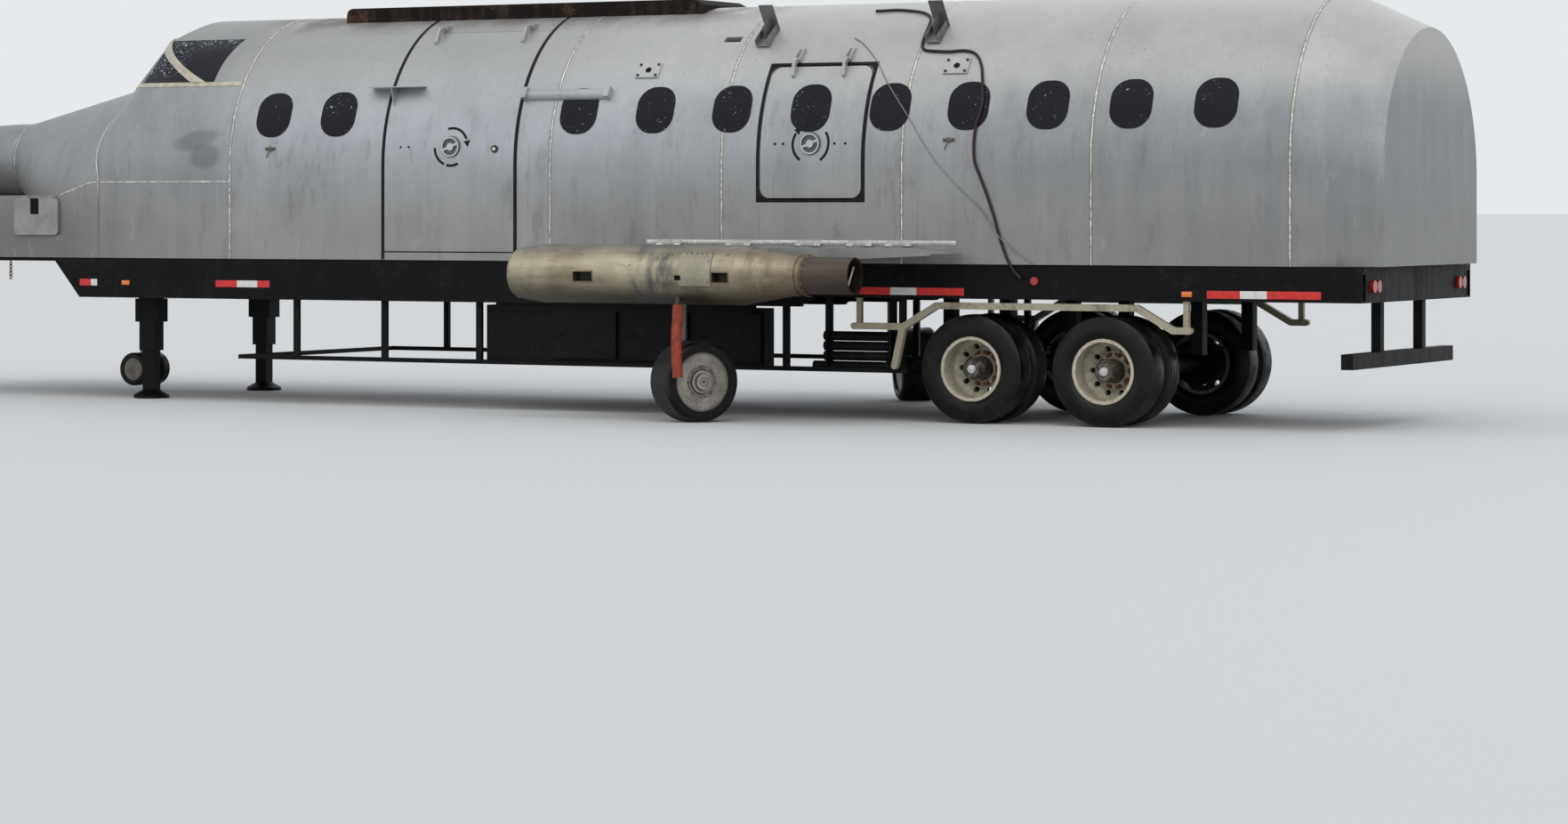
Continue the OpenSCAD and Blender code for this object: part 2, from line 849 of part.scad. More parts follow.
hatch_x0 = -4859;
hatch_x1 = -4403;
hatch_z0 = 1369;
hatch_z1 = 1680;
hatch_pin_y = half + 6.5;
hatch_pin_z = hatch_z1 + 8;
hatch_frame = 5.7;

// A raised lid with round corners on the side of the nose skirt.
module battery_hatch() {
    slot = [(hatch_x0 + hatch_x1) / 2 - 15, hatch_z0 + 240];
    color(steel) {
        across_y(-half - 30, -half - hatch_frame - seat) difference() {
            rounded_rect([hatch_x0, hatch_z0], [hatch_x1, hatch_z1], 40);
            rounded_rect(slot - [46, 68], slot + [46, 68], 12);
        }
        across_y(-half - 18, -half - hatch_frame - seat) rounded_rect(slot - [50, 72], slot + [50, 72], 12);
        for (x = [hatch_x0 + 90, hatch_x1 - 90]) {
            rod_x(x - 30, x + 30, -hatch_pin_y, hatch_pin_z, 6);
            block([x - 30, -half - 12, hatch_z1 - 1], [x + 30, -hatch_pin_y, hatch_pin_z]);
        }
    }
}

// The frame that the battery lid closes on, with the fixed knuckles of its hinge.
module hatch_coaming() {
    across_y(-half - hatch_frame, -half) difference() {
        rounded_rect([hatch_x0, hatch_z0], [hatch_x1, hatch_z1 - 4], 40);
        rounded_rect([hatch_x0 + 30, hatch_z0 + 30], [hatch_x1 - 30, hatch_z1 - 34], 20);
    }
    for (x = [hatch_x0 + 90, hatch_x1 - 90], s = [-57, 33]) {
        rod_x(x + s, x + s + 24, -hatch_pin_y, hatch_pin_z, 6);
        block([x + s, -hatch_pin_y, hatch_pin_z - 4], [x + s + 24, 1 - half, hatch_pin_z + 4]);
    }
}

hinge_y = half + barrel_r + 6;
hinge_z = wing_z + barrel_r + 1;
wing_hinge_xs = [for (d = [250, 850, 1440, 1870, 2190]) wing_x + d];
knuckle = 50;
leaf_t = 5;

// The fixed knuckles, leaves and pins of the stub wings' root hinges.
module wing_hinges() {
    color(steel) both_sides() for (x = wing_hinge_xs) {
        rod_x(x - 2.1 * knuckle, x + 2.1 * knuckle, -hinge_y, hinge_z, pin_r);
        block([x - 2.1 * knuckle, -half - leaf_t, hinge_z - 30], [x + 2.1 * knuckle, -half, hinge_z + 40]);
        for (k = [x - 2.1 * knuckle, x + 1.04 * knuckle]) {
            rod_x(k, k + 1.06 * knuckle, -hinge_y, hinge_z, barrel_r);
            block([k, -hinge_y, hinge_z - 5], [k + 1.06 * knuckle, -half - 1, hinge_z + 5]);
        }
    }
}

// The stub wing: a box with a sloping nose and a thin tail edge, with its hinge leaves.
module wing() {
    y1 = hinge_y + barrel_r + 4;
    y0 = half + wing_span;
    lower = wing_z - wing_t;
    difference() {
        union() {
            across_y(-y0, -y1) polygon([
                [wing_x, wing_z - 50], [wing_x + 60, wing_z - 12], [wing_x + 220, wing_z],
                [wing_x + wing_chord - 400, wing_z], [wing_x + wing_chord, wing_z - 40],
                [wing_x + wing_chord, wing_z - 52], [wing_x + wing_chord - 700, lower], [wing_x + 160, lower]
            ]);
            for (x = wing_hinge_xs) {
                rod_x(x - knuckle, x + knuckle, -hinge_y, hinge_z, barrel_r);
                block([x - knuckle, -y1 - 60, wing_z - 1], [x + knuckle, -hinge_y, wing_z + leaf_t]);
            }
        }
        for (x = wing_hinge_xs) rod_x(x - knuckle - 1, x + knuckle + 1, -hinge_y, hinge_z, pin_r + 0.05);
    }
}

module wing_left() {
    color(steel) wing();
}

module wing_right() {
    color(steel) starboard() wing();
}

nacelle_cuts = [[604, 765], [1774, 1907]];

// The nacelle: inlet lip, body, tail cone and exhaust pipe as one turned sheet, with its cut-outs.
module nacelle() {
    n1 = lip_l;
    n2 = n1 + nacelle_l;
    n3 = n2 + cone_l;
    n4 = n3 + pipe_l;
    translate([nacelle_x, -nacelle_y, nacelle_z]) difference() {
        rotate([0, 90, 0]) rotate_extrude() polygon([
            [nacelle_r - 52, 0], [nacelle_r - 30, 30], [nacelle_r, n1], [nacelle_r, n2], [pipe_r + 14, n3],
            [pipe_r + 14, n3 + 50], [pipe_r, n3 + 55], [pipe_r, n4], [pipe_r - sheet, n4],
            [pipe_r - sheet, n3], [0, n3], [0, n1], [nacelle_r - sheet - 60, n1], [nacelle_r - 62, 20]
        ]);
        for (c = nacelle_cuts) block([c[0], -nacelle_r - 1, -52], [c[1], -nacelle_r + 60, 20]);
    }
    translate([hose_x, -hose_y, hose_z]) cylinder(h = 60, r = 20);
    pylon(nacelle_x + 900);
    pylon(nacelle_x + 1700);
}

// A plate between the wing's outer edge and the nacelle.
module pylon(x) {
    y0 = half + wing_span + seat;
    difference() {
        block([x, -nacelle_y, wing_z - 70], [x + 160, -y0, wing_z - 30]);
        rod_x(x - 1, x + 161, -nacelle_y, nacelle_z, nacelle_r - 1);
    }
}

module nacelle_left() {
    color("#8c8473") nacelle();
}

module nacelle_right() {
    color("#8c8473") starboard() nacelle();
}

gear_y = half + wing_span + 120;

// Stands a main gear piece, drawn with its axle along Y, at its turned place.
module gear_place() {
    translate([gear_x, -gear_y, 0]) rotate([0, 0, gear_turn]) children();
}

// The strut beside the wheel, from the wing's underside down to its axle stub.
module gear_leg() {
    y0 = gear_w / 2 + 50;
    stub_r = 30;
    difference() {
        gear_place() {
            translate([0, y0, gear_r - 50]) cylinder(h = wing_z - wing_t - seat - gear_r + 50, r = 34);
            translate([0, y0, gear_r - 60]) cylinder(h = 120, r = 44);
            rod_y(0, -gear_w / 2 + 30, y0, gear_r, stub_r - 0.05);
        }
        rod_x(gear_x - 1000, gear_x + 1000, -nacelle_y, nacelle_z, nacelle_r + seat);
    }
}

module gear_leg_left() {
    color("#8b8680") gear_leg();
}

module gear_leg_right() {
    color("#8b8680") starboard() gear_leg();
}

// A round-shouldered tyre turned about the Y axis at a place.
module tyre(x, y, z, r, w, inner) {
    s = min(60, (r - inner) * 0.45);
    translate([x, y, z]) rotate([90, 0, 0]) rotate_extrude($fn = 96) {
        translate([inner, -w / 2 + s * 0.6]) square([r - inner - s, w - s * 1.2]);
        translate([r - s - 1, -w / 2 + s]) square([s + 1, w - 2 * s]);
        for (k = [-1, 1]) translate([r - s, k * (w / 2 - s)]) circle(s, $fn = 32);
        translate([inner, -w / 2]) square([r - inner - s, w]);
    }
}

gear_rim = 222;

module gear_tyre() {
    gear_place() tyre(0, 0, gear_r, gear_r, gear_w, gear_rim);
}

// A steel disc wheel with a boss, a centre hole and a ring of bolts.
module gear_disc() {
    w = gear_w - 40;
    gear_place() difference() {
        union() {
            rod_y(0, -w / 2, w / 2, gear_r, gear_rim);
            rod_y(0, -w / 2 - 12, 0, gear_r, 88);
            rod_y(0, -w / 2 - 34, 0, gear_r, 62);
            for (i = [0:7])
                translate([0, 0, gear_r]) rotate([0, i * 45, 0]) rod_y(112, -w / 2 - 14, 0, 0, 10);
        }
        rod_y(0, -w / 2 - 14, w, gear_r, 30);
        rod_y(0, -w, 0, gear_r, 11);
    }
}

module gear_tyre_left() {
    color(rubber) gear_tyre();
}

module gear_disc_left() {
    color("#8b8680") gear_disc();
}

module gear_tyre_right() {
    color(rubber) starboard() gear_tyre();
}

module gear_disc_right() {
    color("#8b8680") starboard() gear_disc();
}

nose_gear_y = 130;
nose_gear_w = 110;
nose_gear_rim = 96;

module nose_gear_leg() {
    y1 = beam_y - web_t / 2 - seat;
    color("#8b8680") {
        translate([nose_gear_x, 0, nose_gear_z]) cylinder(h = skirt_z + 10 - nose_gear_z, r = 42);
        block([nose_gear_x - 90, -y1, skirt_z], [nose_gear_x + 90, y1, skirt_z + 20]);
        rod_y(nose_gear_x, -nose_gear_y - 40, nose_gear_y + 40, nose_gear_z, 24.95);
    }
}

module nose_gear_tyres() {
    color(rubber) both_sides()
        tyre(nose_gear_x, -nose_gear_y, nose_gear_z, nose_gear_r, nose_gear_w, nose_gear_rim);
}

module nose_gear_discs() {
    w = nose_gear_w - 20;
    color("#8b8680") both_sides() difference() {
        rod_y(nose_gear_x, -nose_gear_y - w / 2, -nose_gear_y + w / 2, nose_gear_z, nose_gear_rim);
        rod_y(nose_gear_x, -nose_gear_y - w, -nose_gear_y + w, nose_gear_z, 25);
    }
}

module twin_tyres(x) {
    y0 = wheel_out - tyre_w / 2;
    for (y = [y0, y0 - dual]) tyre(x, -y, tyre_r, tyre_r, tyre_w, rim_r);
}

hand_holes = 10;

// The pair of rims of one wheel end with the hub that carries them.
module twin_rims(x) {
    y0 = wheel_out - tyre_w / 2;
    w = tyre_w / 2 - 15;
    face = y0 - dual / 2;
    translate([x, 0, tyre_r]) difference() {
        rotate([90, 0, 0]) rotate_extrude($fn = 96) {
            for (y = [y0, y0 - dual]) translate([rim_r - 14, y - w]) square([14, 2 * w]);
            for (y = [y0 - w, y0 + w - 10, y0 - dual - w, y0 - dual + w - 10])
                translate([rim_r - 24, y]) square([24, 10]);
            polygon([
                [hub_bore, face - 14], [rim_r - 90, face - 14], [rim_r - 12, y0 - dual + w - 10],
                [rim_r - 12, y0 - w + 10], [rim_r - 90, face + 14], [130, face + 14], [105, face + 34],
                [85, face + 40], [85, wheel_out - 70], [60, wheel_out - 30], [0, wheel_out - 30],
                [0, wheel_out - 60], [hub_bore, wheel_out - 60]
            ]);
            translate([hub_bore, y0 - dual - 60]) square([60, face - y0 + dual + 60]);
        }
        for (i = [0:hand_holes - 1])
            rotate([0, i * 360 / hand_holes, 0]) rod_y(168, -face - 60, -face + 60, 0, 21);
    }
    for (i = [0:9]) translate([x, 0, tyre_r]) rotate([0, 18 + i * 36, 0])
        rod_y(118, -face - 44, -face - 13, 0, 13);
}

module tyres_front_left() {
    color(rubber) twin_tyres(axle_x);
}

module rims_front_left() {
    color(cream) twin_rims(axle_x);
}

module tyres_front_right() {
    color(rubber) starboard() twin_tyres(axle_x);
}

module rims_front_right() {
    color(cream) starboard() twin_rims(axle_x);
}

module tyres_rear_left() {
    color(rubber) twin_tyres(axle_x + axle_gap);
}

module rims_rear_left() {
    color(cream) twin_rims(axle_x + axle_gap);
}

module tyres_rear_right() {
    color(rubber) starboard() twin_tyres(axle_x + axle_gap);
}

module rims_rear_right() {
    color(cream) starboard() twin_rims(axle_x + axle_gap);
}

// A round cord swept along its points.
module cord(pts, r, sides) {
    n = len(pts);
    function tangent(i) =
        let (a = pts[max(0, i - 1)], b = pts[min(n - 1, i + 1)]) (b - a) / norm(b - a);
    rings = [for (i = [0:n - 1]) let (
        t = tangent(i),
        side = cross(t, abs(t[0]) > 0.9 ? [0, 0, 1] : [1, 0, 0]),
        u = side / norm(side),
        v = cross(t, u)
    ) for (k = [0:sides - 1]) pts[i] + r * (u * cos(k * 360 / sides) + v * sin(k * 360 / sides))];
    faces = concat(
        [[for (k = [0:sides - 1]) k]],
        [for (i = [0:n - 2], k = [0:sides - 1]) let (next = (k + 1) % sides) [
            i * sides + k, (i + 1) * sides + k, (i + 1) * sides + next, i * sides + next
        ]],
        [[for (k = [sides - 1:-1:0]) (n - 1) * sides + k]]
    );
    polyhedron(rings, faces);
}

// Points on the skin, given as place along the body and angle up from the port side.
function on_skin(x, angle, off) = angle < 0
    ? [x, -half - off, spring_z + angle * 20]
    : [x, -(half + off) * cos(angle), spring_z + (half + off) * sin(angle)];

// A smooth curve through the middle ones of a row of points, in equal steps.
function smooth(p, n) = [for (i = [1:len(p) - 3], k = [0:n - 1]) let (
    t = k / n,
    a = 2 * p[i],
    b = p[i + 1] - p[i - 1],
    c = 2 * p[i - 1] - 5 * p[i] + 4 * p[i + 1] - p[i + 2],
    d = 3 * p[i] - p[i - 1] - 3 * p[i + 1] + p[i + 2]
) (a + t * b + t * t * c + t * t * t * d) / 2];

cable_spots = [
    [2600, 69], [2775, 68], [2950, 68.5], [3100, 67], [3210, 65], [3300, 61], [3335, 55], [3345, 50],
    [3360, 45], [3400, 42.3], [3520, 41.5], [3620, 41.3], [3730, 41.6], [3830, 40], [3905, 35], [3950, 28],
    [3980, 20], [3945, 11], [3948, 2], [3990, -4], [4040, -10], [4105, -19], [4165, -29], [4245, -38],
    [4345, -43], [4400, -44]
];

module roof_cable() {
    color("#2a1518") cord([for (p = smooth(cable_spots, 4)) on_skin(p[0], p[1], 11.5)], 11, 10);
}

// Place along the body, angle and height over the skin; it crosses over the cable.
lanyard_spots = [
    [2700, 52, 4.2], [2760, 49.5, 4.2], [2840, 47, 4.2], [2930, 43, 4.2], [3010, 39, 4.2],
    [3070, 35.5, 4.2], [3150, 30, 4.2], [3270, 23, 4.2], [3417, 14.6, 4.2], [3580, 4, 4.2],
    [3795, -7.5, 4.2], [3980, -15.6, 6], [4070, -21.5, 16], [4145, -26.3, 29], [4215, -29.6, 16],
    [4300, -33, 6], [4440, -37.5, 4.2], [4500, -39, 4.2]
];

module lanyard() {
    color("#6f6f70") cord([for (p = smooth(lanyard_spots, 5)) on_skin(p[0], p[1], p[2])], 4, 8);
}

hose_x = 1990;
hose_y = nacelle_y + 140;
hose_z = 880;
hose_spots = [
    [hose_x, -hose_y, hose_z], [hose_x, -hose_y, hose_z - 20], [1991, -hose_y - 2, 820],
    [1997, -hose_y - 18, 750], [2006, -hose_y - 48, 670], [2015, -hose_y - 68, 590],
    [2022, -hose_y - 78, 500], [2030, -hose_y - 82, 400], [2034, -hose_y - 83, 320],
    [2035, -hose_y - 83, 280]
];

module nacelle_hose() {
    top = [hose_x, -hose_y, hose_z - seat];
    color("#b5482e") cord(concat([top], smooth(hose_spots, 3)), 40, 16);
}

main_beams();
crossmembers();
side_rails();
deck();
coupler_plate();
landing_legs();
belly_frame();
equipment_boxes();
pipe_rack();
suspension();
axle_front();
axle_rear();
fenders();
rear_bumper();
lamps();
nose_cone();
nose_skirt();
cockpit_shell();
fore_shell();
door_shell();
middle_shell();
exit_shell();
aft_shells();
tail_shell();
roof_burner();
roof_fittings();
big_door();
exit_left();
exit_right();
battery_hatch();
hinge_brackets();
wing_hinges();
wing_left();
nacelle_left();
gear_leg_left();
gear_tyre_left();
gear_disc_left();
wing_right();
nacelle_right();
gear_leg_right();
gear_tyre_right();
gear_disc_right();
nose_gear_leg();
nose_gear_tyres();
nose_gear_discs();
tyres_front_left();
rims_front_left();
tyres_front_right();
rims_front_right();
tyres_rear_left();
rims_rear_left();
tyres_rear_right();
rims_rear_right();
roof_cable();
lanyard();
nacelle_hose();
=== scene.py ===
"""Looks of a mobile aircraft fire trainer, dressed around its fixed frame."""
import logging
import math
from dataclasses import dataclass
from enum import Enum
from typing import Callable, Sequence

import bmesh
import bpy
from mathutils import Matrix, Vector
from mathutils.bvhtree import BVHTree


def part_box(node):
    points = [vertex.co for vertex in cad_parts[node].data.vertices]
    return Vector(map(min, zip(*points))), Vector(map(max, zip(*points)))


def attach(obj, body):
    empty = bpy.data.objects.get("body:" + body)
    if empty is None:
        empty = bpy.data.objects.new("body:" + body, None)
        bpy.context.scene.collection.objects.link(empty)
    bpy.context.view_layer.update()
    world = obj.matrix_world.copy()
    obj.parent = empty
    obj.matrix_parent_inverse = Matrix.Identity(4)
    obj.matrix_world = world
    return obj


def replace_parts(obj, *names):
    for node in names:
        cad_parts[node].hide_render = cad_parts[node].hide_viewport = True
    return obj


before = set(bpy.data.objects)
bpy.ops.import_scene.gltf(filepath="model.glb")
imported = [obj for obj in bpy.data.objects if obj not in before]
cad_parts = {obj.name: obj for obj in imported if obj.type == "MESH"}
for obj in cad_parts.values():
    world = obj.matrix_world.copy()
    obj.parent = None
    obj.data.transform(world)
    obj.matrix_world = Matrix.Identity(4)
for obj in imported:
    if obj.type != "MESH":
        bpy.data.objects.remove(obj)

logging.basicConfig(level=logging.INFO, format="%(name)s: %(message)s")
log = logging.getLogger("trainer")
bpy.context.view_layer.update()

Colour = tuple[float, float, float, float]
Pair = tuple[float, float]
Point = tuple[float, float, float]


def rgb(red: int, green: int, blue: int) -> Colour:
    """Turn a screen colour into the linear colour that shaders take.

    Args:
        red, green, blue: The colour in steps of 0 to 255.

    Returns:
        The linear colour with full alpha.
    """
    steps = (v / 255 for v in (red, green, blue))
    return (*((s / 12.92 if s <= 0.04045 else ((s + 0.055) / 1.055) ** 2.4) for s in steps), 1.0)


class Side(Enum):
    """The two sides of the trailer, with their sign along Y."""

    LEFT = -1
    RIGHT = 1

    @property
    def word(self) -> str:
        """Name of the side, as the node names have it."""
        return self.name.lower()


# places along the body: edge of the cockpit's sheets, nose weld, ring welds and door joints
EDGE_X = -4.008
NOSE_SEAM = -5.58
RING_SEAMS = (-2.683, 0.336, 1.846, 3.356, 4.866, 6.376)
DOOR_SEAMS = (-1.197, 0.014)
# the handles as (x, height), and the nacelles' centre line as (distance from the middle, height)
DOOR_HANDLE = (-0.571, 2.08)
EXIT_HANDLE = (2.5975, 2.08)
NACELLE = (2.11, 1.10)
# degrees that the gear wheels are turned by from the Y axis
GEAR_TURN = 55.0


class Value:
    """A number that varies over a surface, held as one shader socket."""

    def __init__(self, tree: "Tree", socket: bpy.types.NodeSocket) -> None:
        """Keep the tree that new Math nodes go into, and the socket."""
        self.tree = tree
        self.socket = socket

    def _join(self, operation: str, first: object, second: object = None) -> "Value":
        """Add one Math node.

        Args:
            operation: Operation of the Math node.
            first, second: Its terms, each a Value or a number.

        Returns:
            The node's result.
        """
        made = self.tree.node("ShaderNodeMath", {"operation": operation}, {0: first, 1: second})
        return Value(self.tree, made.outputs[0])

    def __add__(self, other: object) -> "Value":
        """Sum with a value or a number."""
        return self._join("ADD", self, other)

    def __radd__(self, other: object) -> "Value":
        """Sum with a number on the left."""
        return self._join("ADD", other, self)

    def __sub__(self, other: object) -> "Value":
        """Difference with a value or a number."""
        return self._join("SUBTRACT", self, other)

    def __rsub__(self, other: object) -> "Value":
        """Difference with a number on the left."""
        return self._join("SUBTRACT", other, self)

    def __mul__(self, other: object) -> "Value":
        """Product with a value or a number."""
        return self._join("MULTIPLY", self, other)

    def __rmul__(self, other: object) -> "Value":
        """Product with a number on the left."""
        return self._join("MULTIPLY", other, self)

    def __truediv__(self, other: object) -> "Value":
        """Quotient with a value or a number."""
        return self._join("DIVIDE", self, other)

    def __pow__(self, other: object) -> "Value":
        """Power with a value or a number."""
        return self._join("POWER", self, other)

    def __abs__(self) -> "Value":
        """Size without the sign."""
        return self._join("ABSOLUTE", self)

    def most(self, other: object) -> "Value":
        """Return the larger of this and another value."""
        return self._join("MAXIMUM", self, other)

    def root(self) -> "Value":
        """Square root."""
        return self._join("SQRT", self)

    def wave(self) -> "Value":
        """Sine, from -1 to 1."""
        return self._join("SINE", self)

    def ramp(self, low: float, high: float) -> "Value":
        """Rise smoothly from 0 at low to 1 at high, or fall where low is the larger.

        Args:
            low, high: Where the result is 0 and where it is 1.

        Returns:
            The result, which stays at 0 and 1 outside.
        """
        made = self.tree.node("ShaderNodeMapRange", {"interpolation_type": "SMOOTHSTEP"},
                              {"Value": self, "From Min": low, "From Max": high})
        return Value(self.tree, made.outputs["Result"])

    def within(self, low: float, high: float, soft: float) -> "Value":
        """Be 1 between low and high and 0 outside, with soft edges."""
        return self.ramp(low - soft, low + soft) * self.ramp(high + soft, high - soft)


class Tree:
    """A node tree, with the one method that makes its nodes."""

    def __init__(self, group: bpy.types.NodeTree) -> None:
        """Keep the tree's data and empty it."""
        self.group = group
        group.nodes.clear()

    def feed(self, node: bpy.types.Node, inputs: dict[object, object]) -> None:
        """Link or set a node's input sockets.

        Args:
            node: The node.
            inputs: A Value, a socket or a constant for each input, where None leaves it as it is.
        """
        for key, value in inputs.items():
            source = value.socket if isinstance(value, Value) else value
            if isinstance(source, bpy.types.NodeSocket):
                self.group.links.new(source, node.inputs[key])
            elif source is not None:
                node.inputs[key].default_value = source

    def node(self, kind: str, settings: dict[str, object] | None = None,
             inputs: dict[object, object] | None = None) -> bpy.types.Node:
        """Add one node.

        Args:
            kind: Type of the node.
            settings: Its properties, such as a Math node's operation, set first.
            inputs: Values, sockets or constants of its input sockets.

        Returns:
            The node.
        """
        made = self.group.nodes.new(kind)
        for key, value in (settings or {}).items():
            setattr(made, key, value)
        self.feed(made, inputs or {})
        return made


class Graph(Tree):
    """The material of one finish under way, with its shader and its colour so far."""

    def __init__(self, name: str) -> None:
        """Start a material with one Principled shader.

        Args:
            name: Name of the material.
        """
        self.material = bpy.data.materials.new(name)
        self.material.use_nodes = True
        super().__init__(self.material.node_tree)
        self.shader = self.node("ShaderNodeBsdfPrincipled")
        self.node("ShaderNodeOutputMaterial", None, {"Surface": self.shader.outputs[0]})
        self.place = self.node("ShaderNodeTexCoord").outputs["Object"]
        axes = self.node("ShaderNodeSeparateXYZ", None, {0: self.place}).outputs
        self.x, self.y, self.z = (Value(self, axis) for axis in axes)
        self.colour: object = None

    def noise(self, scale: Point, detail: float = 4.0, rough: float = 0.55, shift: float = 0.0) -> Value:
        """Add a noise pattern on Object coordinates.

        Args:
            scale: Grains per metre along each axis.
            detail: Octaves of the noise.
            rough: Weight of the finer octaves.
            shift: Moves the pattern, so that two of them differ.

        Returns:
            The pattern, around 0.5.
        """
        moved = self.node("ShaderNodeMapping", None, {
            "Vector": self.place, "Location": (shift, shift, shift), "Scale": scale})
        made = self.node("ShaderNodeTexNoise", None, {
            "Vector": moved.outputs[0], "Scale": 1.0, "Detail": detail, "Roughness": rough})
        return Value(self, made.outputs[0])

    def mix(self, first: object, second: object, factor: object) -> bpy.types.NodeSocket:
        """Blend two colours by a factor from 0 to 1."""
        made = self.node("ShaderNodeMix", {"data_type": "RGBA"}, {0: factor, 6: first, 7: second})
        return made.outputs[2]

    def over(self, tint: Colour | bpy.types.NodeSocket, cover: object) -> None:
        """Lay a tint over the colour so far, as far as its cover from 0 to 1 says."""
        self.colour = self.mix(self.colour, tint, cover)

    def distance(self, x: float, z: float) -> Value:
        """Distance from a line along Y."""
        return ((self.x - x) ** 2 + (self.z - z) ** 2).root()

    def spread(self, hub: Point, turn: float = 0.0) -> Value:
        """Distance from a wheel's axle, on both sides of the trailer alike.

        Args:
            hub: A point on the axle, with its distance from the middle as Y.
            turn: Angle in degrees that the axle is turned by from the Y axis.

        Returns:
            The distance in metres.
        """
        angle = math.radians(turn)
        along = (self.x - hub[0]) * math.cos(angle) - (abs(self.y) - hub[1]) * math.sin(angle)
        return (along ** 2 + (self.z - hub[2]) ** 2).root()

    def bump(self, height: Value, distance: float, strength: float = 1.0) -> None:
        """Feed a height to the shader's normal.

        Args:
            height: The height pattern, from 0 to 1.
            distance: Its depth in metres.
            strength: Share of the bump that shows.
        """
        made = self.node("ShaderNodeBump", None, {"Height": height, "Distance": distance, "Strength": strength})
        self.feed(self.shader, {"Normal": made.outputs[0]})

    def set(self, **values: object) -> None:
        """Set or link the shader's own sockets, named with _ for a space."""
        self.feed(self.shader, {key.replace("_", " "): value for key, value in values.items()})


@dataclass(frozen=True)
class Finish:
    """A surface finish, made once as a material."""

    name: str
    slot: str

    def paint(self, g: Graph) -> None:
        """Fill the graph with this finish.

        Args:
            g: The graph of its material.
        """
        raise NotImplementedError

    def material(self) -> bpy.types.Material:
        """Make the finish's material at its first use.

        Returns:
            The material.
        """
        known = bpy.data.materials.get(self.name)
        if known:
            return known
        g = Graph(self.name)
        self.paint(g)
        return g.material

    def dress(self, *nodes: str) -> None:
        """Give this finish to CAD nodes.

        Args:
            nodes: Names of the nodes.
        """
        for name in nodes:
            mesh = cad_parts[name].data
            mesh.materials.clear()
            mesh.materials.append(self.material())


